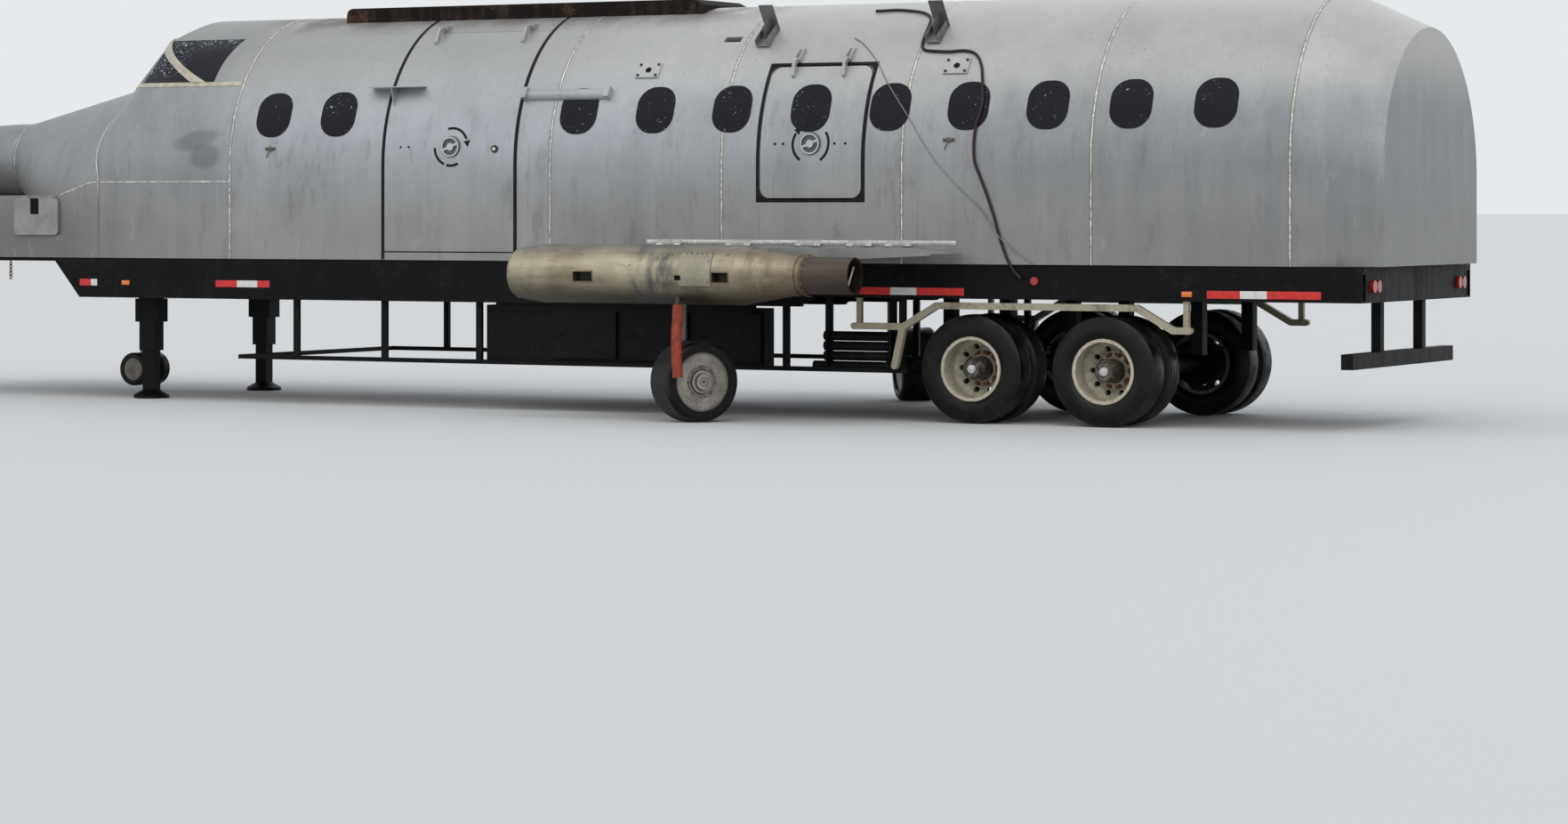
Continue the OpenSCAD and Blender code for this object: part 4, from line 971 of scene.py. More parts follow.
@dataclass
class Windows:
    """Dark rounded window panels along the cabin."""

    centres: tuple[float, ...] = (-2.292, -1.668, 0.559, 1.235, 1.900, 3.230, 3.868, 4.500, 5.150, 5.800)
    exit_centre: float = 2.570
    low: float = 2.170
    high: float = 2.530
    width: float = 0.327
    radius: float = 0.145
    lift: float = 0.004
    row_step: float = 0.03

    def row(self, name: str, body: str, side: Side, centres: Sequence[float]) -> None:
        """Make the window panels of one side as one piece.

        Args:
            name: Name of the piece.
            body: The body that it rides on.
            side: The side that it is on.
            centres: Where the windows are along the body.
        """
        form = Form()
        half = self.width / 2
        bottom, top = SKIN_SHAPE.up(self.low), SKIN_SHAPE.up(self.high)
        for centre in centres:
            form.rounded((centre - half, bottom), (centre + half, top), self.radius, 8)
        form.slice_rows(bottom, top, self.row_step)
        SKIN_SHAPE.lay(form, self.lift, side, name, GLASS_FILM, body)

    def build(self) -> None:
        """Make the windows of both sides and of the exits."""
        for side in Side:
            self.row(f"windows_{side.word}", "trailer", side, self.centres)
            self.row(f"exit_window_{side.word}", f"exit_{side.word}", side, (self.exit_centre,))


@dataclass
class Seams:
    """Weld beads between the fuselage's sections."""

    width: float = 0.012
    height: float = 0.0035
    sunk: float = 0.0005
    pitch: float = 0.02
    ripple: float = 0.045
    wander: float = 0.0012

    def raise_bead(self, flat: Vector) -> Vector:
        """Lift a flat point to the bead's round top, with the ripple of the weld.

        Args:
            flat: A point of one of the flat strips.

        Returns:
            The point on the bead.
        """
        x = min(RING_SEAMS, key=lambda seam: abs(seam - flat.x))
        across = min(1.0, abs(flat.x - x) / (self.width / 2))
        ripple = 0.75 + 0.25 * math.sin(flat.y * math.tau / self.ripple + math.sin(flat.y * 9.0) * 2.0)
        wander = self.wander * math.sin(flat.y * 31.0 + x * 7.0)
        lifted = self.height * math.sqrt(max(0.0, 1 - across ** 2)) * ripple if flat.z > 0 else -self.sunk
        return Vector((flat.x + wander, flat.y, lifted))

    def build(self) -> None:
        """Make the ring welds as one piece."""
        form = Form()
        for x in RING_SEAMS:
            form.grid((x - self.width / 2, 0.0), (x + self.width / 2, SKIN_SHAPE.girth), 4,
                      int(SKIN_SHAPE.girth / self.pitch))
        form.thicken(0.001)
        form.bend(self.raise_bead)
        form.bend(SKIN_SHAPE.roll(Side.LEFT))
        form.piece("ring_welds", WELD, "trailer", 60.0)


@dataclass
class DoorTrim:
    """Black seals at the door and exits, with the turning arrows and the studs on their leaves."""

    door_x0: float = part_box("fore_shell")[1].x
    door_x1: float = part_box("big_door")[1].x + 0.010
    door_foot: float = 1.185
    door_lap: float = 0.004
    door_handle: float = 0.626
    seal: float = 0.022
    thick: float = 0.004
    row_step: float = 0.04
    roof_y: float = 0.18
    exit_low: Pair = (2.165, 1.660)
    exit_high: Pair = (3.030, 2.680)
    corner: float = 0.09
    frame_corner: float = 0.006
    handle_z: float = DOOR_HANDLE[1]
    arrow_r: float = 0.150
    arrow_w: float = 0.020
    arrow_head: float = 0.036
    arrow_thick: float = 0.0015
    door_arcs: tuple[Pair, ...] = ((24, 82), (183, 64), (255, 42))
    door_head: float = 12
    exit_arcs: tuple[Pair, ...] = ((148, 87), (-56, 92))
    exit_head: float = 138
    door_dots: tuple[float, ...] = (-1.04, -0.966)
    door_dot_r: float = 0.009
    exit_dots: tuple[float, ...] = (-0.30, -0.23, 0.20, 0.29)
    exit_dot_r: float = 0.010
    dot_thick: float = 0.003

    def door_seals(self) -> None:
        """Make the black joint lines that run up beside the big door and over the shoulder."""
        form = Form()
        top = SKIN_SHAPE.wall + SKIN_SHAPE.half * math.acos(self.roof_y / SKIN_SHAPE.half)
        for x in (self.door_x0 - self.seal + self.door_lap, self.door_x1):
            form.grid((x, SKIN_SHAPE.up(self.door_foot)), (x + self.seal, top), 1, 70)
        SKIN_SHAPE.lay(form, self.thick, Side.LEFT, "door_seals", SEAL, "trailer")

    def exit_seals(self) -> None:
        """Make the black frames with square outer corners round the exits."""
        wide = self.seal
        for side in Side:
            form = Form()
            low = (self.exit_low[0], SKIN_SHAPE.up(self.exit_low[1]))
            high = (self.exit_high[0], SKIN_SHAPE.up(self.exit_high[1]))
            frame_low, frame_high = (low[0] - wide, low[1] - wide), (high[0] + wide, high[1] + wide)
            for corners, radius in (((low, high), self.corner), ((frame_low, frame_high), self.frame_corner)):
                form.rounded(*corners, radius)
                bmesh.ops.delete(form.bm, geom=form.bm.faces[:], context="FACES_ONLY")
            bmesh.ops.bridge_loops(form.bm, edges=form.bm.edges[:])
            form.slice_rows(low[1], high[1], self.row_step)
            SKIN_SHAPE.lay(form, self.thick, side, f"exit_seal_{side.word}", SEAL, "trailer")

    def arrow(self, name: str, body: str, side: Side, x: float, arcs: Sequence[Pair], head: float) -> None:
        """Make the curved arrow round a handle.

        Args:
            name: Name of the piece.
            body: The door that it rides on.
            side: The side that the door is on.
            x: Place of the handle along the body.
            arcs: Start and sweep of each arc in degrees.
            head: Where the arrow's head is, in degrees.
        """
        form = Form()
        centre = Vector((x, SKIN_SHAPE.up(self.handle_z), 0))
        for start, sweep in arcs:
            reach = Vector((math.cos(math.radians(start)), math.sin(math.radians(start)), 0))
            ends = [form.bm.verts.new(centre + reach * (self.arrow_r + s * self.arrow_w / 2)) for s in (-1, 1)]
            edge = form.bm.edges.new(ends)
            bmesh.ops.spin(form.bm, geom=ends + [edge], cent=centre, axis=(0, 0, 1), dvec=(0, 0, 0),
                           angle=math.radians(sweep), steps=18, use_merge=False, use_duplicate=False)
        angle = math.radians(head)
        tip = Matrix.Translation(centre + Vector((math.cos(angle), math.sin(angle), 0)) * self.arrow_r)
        bmesh.ops.create_circle(form.bm, cap_ends=True, segments=3, radius=self.arrow_head,
                                matrix=tip @ Matrix.Rotation(angle - math.pi, 4, "Z"))
        SKIN_SHAPE.lay(form, self.arrow_thick, side, name, SEAL, body)

    def dots(self, name: str, body: str, side: Side, places: Sequence[float], radius: float) -> None:
        """Make a row of small round studs at the handle's height.

        Args:
            name: Name of the piece.
            body: The door that it rides on.
            side: The side that the door is on.
            places: Where the studs are along the body.
            radius: Their radius.
        """
        form = Form()
        for x in places:
            bmesh.ops.create_circle(form.bm, cap_ends=True, segments=10, radius=radius,
                                    matrix=Matrix.Translation((x, SKIN_SHAPE.up(self.handle_z), 0)))
        SKIN_SHAPE.lay(form, self.dot_thick, side, name, SEAL, body)

    def build(self) -> None:
        """Make all of the doors' trim."""
        self.door_seals()
        self.exit_seals()
        self.arrow("door_arrows", "big_door", Side.LEFT, self.door_x0 + self.door_handle, self.door_arcs,
                   self.door_head)
        self.dots("door_dots", "big_door", Side.LEFT, self.door_dots, self.door_dot_r)
        middle = (self.exit_low[0] + self.exit_high[0]) / 2
        for side in Side:
            leaf = f"exit_{side.word}"
            self.arrow(f"exit_arrows_{side.word}", leaf, side, middle, self.exit_arcs, self.exit_head)
            self.dots(f"exit_dots_{side.word}", leaf, side, [middle + d for d in self.exit_dots], self.exit_dot_r)


@dataclass
class RoadWheels:
    """Twin road tyres with their tread, and the nuts and caps of their hubs."""

    radius: float = 0.405
    width: float = 0.235
    bead: float = 0.240
    dual: float = 0.300
    outer_face: float = 1.250
    bead_profile: tuple[Pair, ...] = ((0.020, 0.0), (0.004, 0.018), (0.0, 0.06))
    crown_profile: tuple[Pair, ...] = ((0.001, 0.085), (0.008, 0.048), (0.016, 0.024), (0.026, 0.006))
    inner_profile: Pair = (0.03, 0.002)
    shoulder: float = 0.034
    crown_drop: float = 0.006
    grooves: int = 4
    groove: float = 0.009
    groove_foot: float = 0.3
    depth: float = 0.010
    nuts: int = 10
    nut_circle: float = 0.118
    nut_face: float = 0.044
    nut_ends: Point = (-0.030, -0.006, 0.006)
    nut_r: float = 0.017
    stud_r: float = 0.010
    cap_face: float = 0.030
    cap_outline: tuple[Pair, ...] = (
        (-0.030, 0.036), (0.0, 0.034), (0.005, 0.030), (0.007, 0.0004), (-0.030, 0.0004))

    def section(self) -> list[Pair]:
        """Work out the outline of a tyre's wall and tread.

        Returns:
            Its points, as (place along the axle, radius).
        """
        half = self.width / 2
        crown = self.radius
        wall = [(-half + y, self.bead + r) for y, r in self.bead_profile]
        wall += [(-half + y, crown - r) for y, r in self.crown_profile]
        points = list(wall)
        land = self.width - 2 * self.shoulder
        for index in range(self.grooves):
            middle = -land / 2 + land * (index + 0.5) / self.grooves
            rise = crown - self.crown_drop * (2 * middle / self.width) ** 2
            foot = self.groove * self.groove_foot
            points += [(middle - self.groove / 2, rise), (middle - foot, rise - self.depth),
                       (middle + foot, rise - self.depth), (middle + self.groove / 2, rise)]
        points += [(-y, r) for y, r in reversed(wall)]
        y, r = self.inner_profile
        return points + [(half - y, self.bead + r), (-half + y, self.bead + r)]

    def tyres(self, name: str, body: str, hub: Point, side: Side) -> None:
        """Make one pair of tyres in place of its plain solids.

        Args:
            name: The node that the pair replaces.
            body: The body that they ride on.
            hub: Centre of the axle.
            side: The side of the trailer.
        """
        form = Form()
        for inward in (0.0, self.dual):
            y = side.value * (self.outer_face - self.width / 2 - inward)
            form.turned(self.section(), (hub[0], y, hub[2]))
        finish = Rubber(f"rubber_{name}", "tyre", hub=hub, bead=self.bead, outer=self.radius)
        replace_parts(form.piece(f"tread_{name}", finish, body, 50.0), name)

    def hub(self, end: str, body: str, hub: Point, side: Side) -> None:
        """Make the nuts on the studs and the cap of one hub.

        Args:
            end: The wheel end, as the pieces' names have it.
            body: The body that they ride on.
            hub: Centre of the axle.
            side: The side of the trailer.
        """
        face = self.outer_face - self.width / 2 - self.dual / 2 + self.nut_face
        form = Form()
        for index in range(self.nuts):
            angle = math.tau * (index + 0.5) / self.nuts
            x = hub[0] + self.nut_circle * math.sin(angle)
            z = hub[2] + self.nut_circle * math.cos(angle)
            foot, top, tip = ((x, side.value * (face + d), z) for d in self.nut_ends)
            form.rod(foot, top, self.nut_r, 6)
            form.rod(top, tip, self.stud_r, 10)
        form.piece(f"nuts_{end}", RUST, body, 30.0)
        cap = Form()
        face = self.outer_face - self.cap_face
        cap.turned([(side.value * (face + d), r) for d, r in self.cap_outline], (hub[0], 0.0, hub[2]), 40)
        cap.piece(f"cap_{end}", BRIGHT, body, 30.0)

    def build(self) -> None:
        """Make the tyres and hub details of the four wheel ends."""
        for axle in ("front", "rear"):
            for side in Side:
                end = f"{axle}_{side.word}"
                body = f"road_wheels_{end}"
                low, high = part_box(f"tyres_{end}")
                hub = ((low.x + high.x) / 2, 0.0, (low.z + high.z) / 2)
                self.tyres(f"tyres_{end}", body, hub, side)
                self.hub(end, body, hub, side)
                RimPaint(f"rim_paint_{end}", "rim_cream", hub=(hub[0], hub[2])).dress(f"rims_{end}")


def smooth_route(spots: Sequence[Sequence[float]], steps: int) -> list[Vector]:
    """Run one smooth curve through the middle ones of a row of points.

    Args:
        spots: The points, with one spare at each end.
        steps: Steps from one point to the next.

    Returns:
        Points along the curve.
    """
    rows = [Vector(spot) for spot in spots]
    route = []
    for before, start, end, after in zip(rows, rows[1:], rows[2:], rows[3:]):
        for step in range(steps):
            t = step / steps
            bend = 2 * before - 5 * start + 4 * end - after
            twist = 3 * start - before - 3 * end + after
            route.append((2 * start + t * (end - before) + t * t * bend + t ** 3 * twist) / 2)
    return route


@dataclass
class FreeCords:
    """The cable, the lanyard and the nacelle's sleeve, on the routes of their solids.

    The cable's points hold a place along the body and an angle on the skin in degrees, those of
    the lanyard also a lift in millimetres, and the sleeve's are places.
    """

    cable_spots: tuple[Pair, ...] = (
        (2.600, 69), (2.775, 68), (2.950, 68.5), (3.100, 67), (3.210, 65), (3.300, 61), (3.335, 55), (3.345, 50),
        (3.360, 45), (3.400, 42.3), (3.520, 41.5), (3.620, 41.3), (3.730, 41.6), (3.830, 40), (3.905, 35),
        (3.950, 28), (3.980, 20), (3.945, 11), (3.948, 2), (3.990, -4), (4.040, -10), (4.105, -19), (4.165, -29),
        (4.245, -38), (4.345, -43), (4.400, -44))
    lanyard_spots: tuple[Point, ...] = (
        (2.700, 52, 4.2), (2.760, 49.5, 4.2), (2.840, 47, 4.2), (2.930, 43, 4.2), (3.010, 39, 4.2),
        (3.070, 35.5, 4.2), (3.150, 30, 4.2), (3.270, 23, 4.2), (3.417, 14.6, 4.2), (3.580, 4, 4.2),
        (3.795, -7.5, 4.2), (3.980, -15.6, 6), (4.070, -21.5, 16), (4.145, -26.3, 29), (4.215, -29.6, 16),
        (4.300, -33, 6), (4.440, -37.5, 4.2), (4.500, -39, 4.2))
    sleeve_spots: tuple[Point, ...] = (
        (1.990, -2.250, 0.880), (1.990, -2.250, 0.860), (1.991, -2.252, 0.820), (1.997, -2.268, 0.750),
        (2.006, -2.298, 0.670), (2.015, -2.318, 0.590), (2.022, -2.328, 0.500), (2.030, -2.332, 0.400),
        (2.034, -2.333, 0.320), (2.035, -2.333, 0.280))
    sleeve_top: Point = (1.990, -2.250, 0.8797)
    cable_lift: float = 0.0115
    cable_r: float = 0.011
    lanyard_r: float = 0.004
    sleeve_r: float = 0.040
    drop: float = 0.020

    def on_skin(self, x: float, angle: float, lift: float) -> Vector:
        """Return the place of a cord's point on the left skin.

        Args:
            x: Its place along the body.
            angle: Its angle up from the side in degrees, or below 0 its steps down the flat wall.
            lift: Height of the cord's middle over the skin.

        Returns:
            The place.
        """
        out = SKIN_SHAPE.half + lift
        if angle < 0:
            return Vector((x, -out, SKIN_SHAPE.spring + angle * self.drop))
        turn = math.radians(angle)
        return Vector((x, -out * math.cos(turn), SKIN_SHAPE.spring + out * math.sin(turn)))

    def cord(self, name: str, node: str, body: str, route: list[Vector], radius: float, finish: Finish) -> None:
        """Args:
            name: Name of the piece.
            node: The node that it replaces.
            body: The body that it rides on.
            route: Its centre line.
            radius: Its radius.
            finish: Its finish.
        """
        curve = bpy.data.curves.new(name, "CURVE")
        curve.dimensions = "3D"
        curve.bevel_depth = radius
        curve.bevel_resolution = 3
        curve.use_fill_caps = True
        spline = curve.splines.new("POLY")
        spline.points.add(len(route) - 1)
        for point, spot in zip(spline.points, route):
            point.co = (*spot, 1.0)
        spline.use_smooth = True
        curve.materials.append(finish.material())
        made = bpy.data.objects.new(name, curve)
        bpy.context.scene.collection.objects.link(made)
        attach(made, body)
        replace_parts(made, node)
        length = sum((b - a).length for a, b in zip(route, route[1:]))
        log.info("%s is %.3f m long", name, length)

    def build(self) -> None:
        """Make the three cords."""
        cable = [self.on_skin(x, angle, self.cable_lift) for x, angle in smooth_route(self.cable_spots, 4)]
        self.cord("shore_cable", "roof_cable", "trailer", cable, self.cable_r, CABLE)
        wire = [self.on_skin(x, angle, lift / 1000) for x, angle, lift in smooth_route(self.lanyard_spots, 5)]
        self.cord("pull_lanyard", "lanyard", "trailer", wire, self.lanyard_r, WIRE)
        sleeve = [Vector(self.sleeve_top)] + smooth_route(self.sleeve_spots, 3)
        self.cord("drain_sleeve", "nacelle_hose", "stub_wing_left", sleeve, self.sleeve_r, SLEEVE)


@dataclass
class CockpitGlass:
    """Panes, posts and sill strip of the cockpit, cut from its own skin and raised on it."""

    node: str = "cockpit_shell"
    sill: float = 2.633
    head: float = 3.0
    brow: float = 2.95
    strip: float = 0.033
    strip_end: float = -2.70
    post: float = 0.05
    post_rise: float = 0.02
    inside: Point = (-2.75, 0.0, 1.92)
    outward: float = 0.3
    pane_lift: float = 0.003
    strip_lift: float = 0.004
    post_lift: float = 0.009
    front_edge: tuple[Point, ...] = ((-3.219, -1.051, 2.633), (-3.355, -0.999, 2.705), (-3.584, -0.871, 2.8445))
    back_edge: tuple[Point, ...] = ((-3.066, -1.053, 2.631), (-3.473, -0.879, 2.836), (-3.637, -0.714, 2.970))
    rear_edge: tuple[Point, ...] = ((-2.987, -1.056, 2.625), (-2.987, -0.955, 2.757), (-2.930, -0.664, 3.0))
    pane_middle: Point = (-3.3, -0.9, 2.8)

    def skin(self, low: float, high: float) -> Form:
        """Start a form from the left half of the cockpit's outer skin.

        Args:
            low, high: The heights that it is cut to.

        Returns:
            The form.
        """
        form = Form()
        form.bm.from_mesh(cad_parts[self.node].data)
        bmesh.ops.remove_doubles(form.bm, verts=form.bm.verts[:], dist=1e-5)
        form.bm.normal_update()
        middle = Vector(self.inside)
        hidden = [f for f in form.bm.faces if f.normal.dot(f.calc_center_median() - middle) < self.outward]
        bmesh.ops.delete(form.bm, geom=hidden, context="FACES")
        form.beyond(2, low, 1)
        form.beyond(2, high, -1)
        form.beyond(1, 0.0, -1)
        return form

    def side_of(self, form: Form, edge: Sequence[Point], way: int) -> None:
        """Keep what lies above an edge's plane where way is 1, or below it where way is -1."""
        form.cut(edge, (edge[0][0], edge[0][1], edge[0][2] + way))

    def finish(self, form: Form, lift: float, name: str, finish: Finish) -> None:
        """Raise a cut piece of skin, on both sides.

        Args:
            form: The cut skin of the left side.
            lift: How far it stands out.
            name: Name of the piece.
            finish: Its finish.
        """
        form.swell(lift)
        form.mirror()
        form.piece(name, finish, "trailer", 50.0)

    def build(self) -> None:
        """Make the panes, the posts between them and the strip under them."""
        screen = self.skin(self.sill, self.brow)
        self.side_of(screen, self.front_edge, -1)
        screen.beyond(1, -self.post, -1)
        self.finish(screen, self.pane_lift, "windscreens", PANES)
        side = self.skin(self.sill, self.head)
        self.side_of(side, self.back_edge, 1)
        side.cut(self.rear_edge, self.pane_middle)
        self.finish(side, self.pane_lift, "cockpit_side_windows", PANES)
        post = self.skin(self.sill, self.head + self.post_rise)
        self.side_of(post, self.front_edge, 1)
        self.side_of(post, self.back_edge, -1)
        self.finish(post, self.post_lift, "screen_posts", POST)
        middle = self.skin(self.sill, self.brow)
        middle.beyond(1, -self.post, 1)
        self.finish(middle, self.post_lift, "centre_post", POST)
        strip = self.skin(self.sill - self.strip, self.sill)
        strip.beyond(0, self.strip_end, -1)
        self.finish(strip, self.strip_lift, "sill_strip", POST)


@dataclass
class NoseWelds:
    """Weld beads where the radome, its cowl, the cheeks and the cockpit meet."""

    radius: float = 0.0055
    looks: tuple[float, ...] = (0.2, 0.0, -0.2, -0.4, -0.6, -0.75, -0.9, -1.0, -1.1, -1.18, -1.23, -1.26)
    ahead: float = -7.5
    low_weld: float = 1.81
    high_look: float = 2.9
    cheek: tuple[Pair, ...] = ((-4.413, 1.70), (-4.094, 1.8035), (EDGE_X, 1.815))
    ring_centre: Pair = (NOSE_SEAM, 2.0)
    ring_r: float = 0.337
    ring_turns: tuple[int, int, int] = (-62, 244, 6)
    ring_bead: float = 0.004
    foot_drop: float = 0.015
    long_step: float = 0.06

    def joint(self) -> list[Vector]:
        """Find where the cowl and the cockpit meet, by looking along X at both.

        Returns:
            Points along their joint, from the middle down the left side.
        """
        trees = []
        for node in ("nose_cone", "cockpit_shell"):
            bm = bmesh.new()
            bm.from_mesh(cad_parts[node].data)
            trees.append(BVHTree.FromBMesh(bm))
            bm.free()
        route = []
        for y in self.looks:
            low, high = self.low_weld, self.high_look
            for _ in range(20):
                z = (low + high) / 2
                eye = Vector((self.ahead, y, z))
                cowl, cockpit = (tree.ray_cast(eye, Vector((1, 0, 0)))[0] for tree in trees)
                in_front = cowl is not None and cowl.x < cockpit.x
                low, high = (z, high) if in_front else (low, z)
            route.append(cockpit)
        return route

    def line(self, form: Form, spots: Sequence[Point], step: float = 0.03) -> None:
        """Lay a straight bead from point to point.

        Args:
            form: The form that it goes into.
            spots: The points.
            step: Length of its lumps.
        """
        for start, end in zip(spots, spots[1:]):
            a, b = Vector(start), Vector(end)
            count = max(2, int((b - a).length / step))
            form.bead([a.lerp(b, k / count) for k in range(count + 1)], self.radius)

    def build(self) -> None:
        """Make the beads of both sides."""
        half = SKIN_SHAPE.half
        form = Form()
        joint = self.joint()
        foot = Vector((EDGE_X, -half, joint[-1].z - self.foot_drop))
        form.bead(smooth_route(joint + [foot, foot], 5), self.radius)
        self.line(form, (foot, (EDGE_X, -half, self.cheek[0][1])))
        self.line(form, [(x, -half, z) for x, z in self.cheek])
        self.line(form, [(x, -half, self.low_weld) for x in (EDGE_X, RING_SEAMS[0])], self.long_step)
        form.mirror()
        x, z = self.ring_centre
        turns = [math.radians(a) for a in range(*self.ring_turns)]
        form.bead([Vector((x, self.ring_r * math.cos(a), z + self.ring_r * math.sin(a))) for a in turns],
                  self.ring_bead)
        form.piece("nose_welds", WELD, "trailer", 60.0)


@dataclass
class NacelleTrim:
    """Access panel with its bolts, small slot, tack welds and pipe brace of each nacelle."""

    radius: float = 0.222
    sunk: float = 0.0005
    step: float = 0.08
    panel_x: Pair = (2.035, 2.300)
    panel_z: Pair = (1.020, 1.262)
    panel_lift: float = 0.003
    gap: float = 0.015
    gap_lift: float = 0.0015
    gap_end: float = 0.004
    gap_start: float = 0.03
    slot_x: Pair = (2.005, 2.055)
    slot_z: Pair = (1.062, 1.098)
    slot_lift: float = 0.0045
    row_z: float = 1.256
    row_start: float = 0.045
    row_bolts: int = 6
    row_pitch: float = 0.042
    row_size: Pair = (0.007, 0.0055)
    loose_size: Pair = (0.006, 0.005)
    loose_bolts: tuple[Pair, ...] = (
        (1.93, 1.245), (1.96, 1.245), (2.28, 1.05), (2.28, 1.20), (1.62, 1.17), (2.42, 1.25))
    flange_x: float = 2.996
    flange_r: float = 0.151
    tacks: int = 18
    tack_size: Point = (0.016, 0.0075, 0.005)
    brace_r: float = 0.0095
    brace: tuple[Point, Point] = ((3.330, 0.055, 0.990), (3.322, -0.085, 1.165))

    def angle(self, z: float) -> float:
        """Angle on the nacelle of a height."""
        return math.asin((z - NACELLE[1]) / self.radius)

    def bent(self, x: float, turn: float, reach: float) -> Point:
        """Return a point round the left nacelle's centre line, by its angle and distance from it."""
        return (x, -NACELLE[0] - reach * math.cos(turn), NACELLE[1] + reach * math.sin(turn))

    def sheet(self, form: Form, low: Pair, high: Pair, lift: float) -> None:
        """Add a curved plate on the nacelle's outer side.

        Args:
            form: The form that it goes into.
            low, high: Its corners, as (x, angle).
            lift: How far it stands out.
        """
        before = set(form.bm.verts)
        form.grid(low, high, 1, max(1, int((high[1] - low[1]) / self.step)))
        form.thicken(lift, [f for f in form.bm.faces if not before.intersection(f.verts)])
        for vert in form.bm.verts:
            if vert not in before:
                vert.co = self.bent(vert.co.x, vert.co.y, self.radius - self.sunk + vert.co.z)

    def bolt(self, form: Form, x: float, z: float, height: float, radius: float) -> None:
        """Add one bolt head that stands out from the nacelle's skin.

        Args:
            form: The form that it goes into.
            x, z: Its place along the nacelle and its height.
            height: How far it stands out.
            radius: Its radius.
        """
        turn = self.angle(z)
        form.rod(self.bent(x, turn, self.radius), self.bent(x, turn, self.radius + height), radius, 6)

    def build(self) -> None:
        """Make the trim of both nacelles."""
        low, high = (self.angle(z) for z in self.panel_z)
        start, end = self.panel_x
        for side in Side:
            panel, dark, bolts, brace = Form(), Form(), Form(), Form()
            self.sheet(panel, (start, low), (end, high), self.panel_lift)
            for edge in (low - self.gap, high):
                self.sheet(dark, (start + self.gap_start, edge), (end, edge + self.gap), self.gap_lift)
            self.sheet(dark, (end, low), (end + self.gap_end, high), self.gap_lift)
            # the black patch on the small slot is painted shade of its opening
            slot_low, slot_high = ((x, self.angle(z)) for x, z in zip(self.slot_x, self.slot_z))
            self.sheet(dark, slot_low, slot_high, self.slot_lift)
            for index in range(self.row_bolts):
                self.bolt(bolts, start + self.row_start + index * self.row_pitch, self.row_z, *self.row_size)
            for x, z in self.loose_bolts:
                self.bolt(bolts, x, z, *self.loose_size)
            length, radius, tip = self.tack_size
            for index in range(self.tacks):
                turn = math.tau * (index + 0.3 * math.sin(index * 5.0)) / self.tacks
                foot = self.bent(self.flange_x, turn, self.flange_r)
                bolts.rod(foot, (foot[0] + length, foot[1], foot[2]), radius, 8, tip)
            brace.rod(*((x, -NACELLE[0] - out, z) for x, out, z in self.brace), self.brace_r, 4)
            for form, name, finish in ((panel, "panel", PANEL), (dark, "slots", BLACK), (bolts, "bolts", RUST),
                                       (brace, "brace", PANEL)):
                if side is Side.RIGHT:
                    bmesh.ops.scale(form.bm, vec=(1, -1, 1), verts=form.bm.verts[:])
                form.piece(f"nacelle_{name}_{side.word}", finish, f"stub_wing_{side.word}", 30.0)


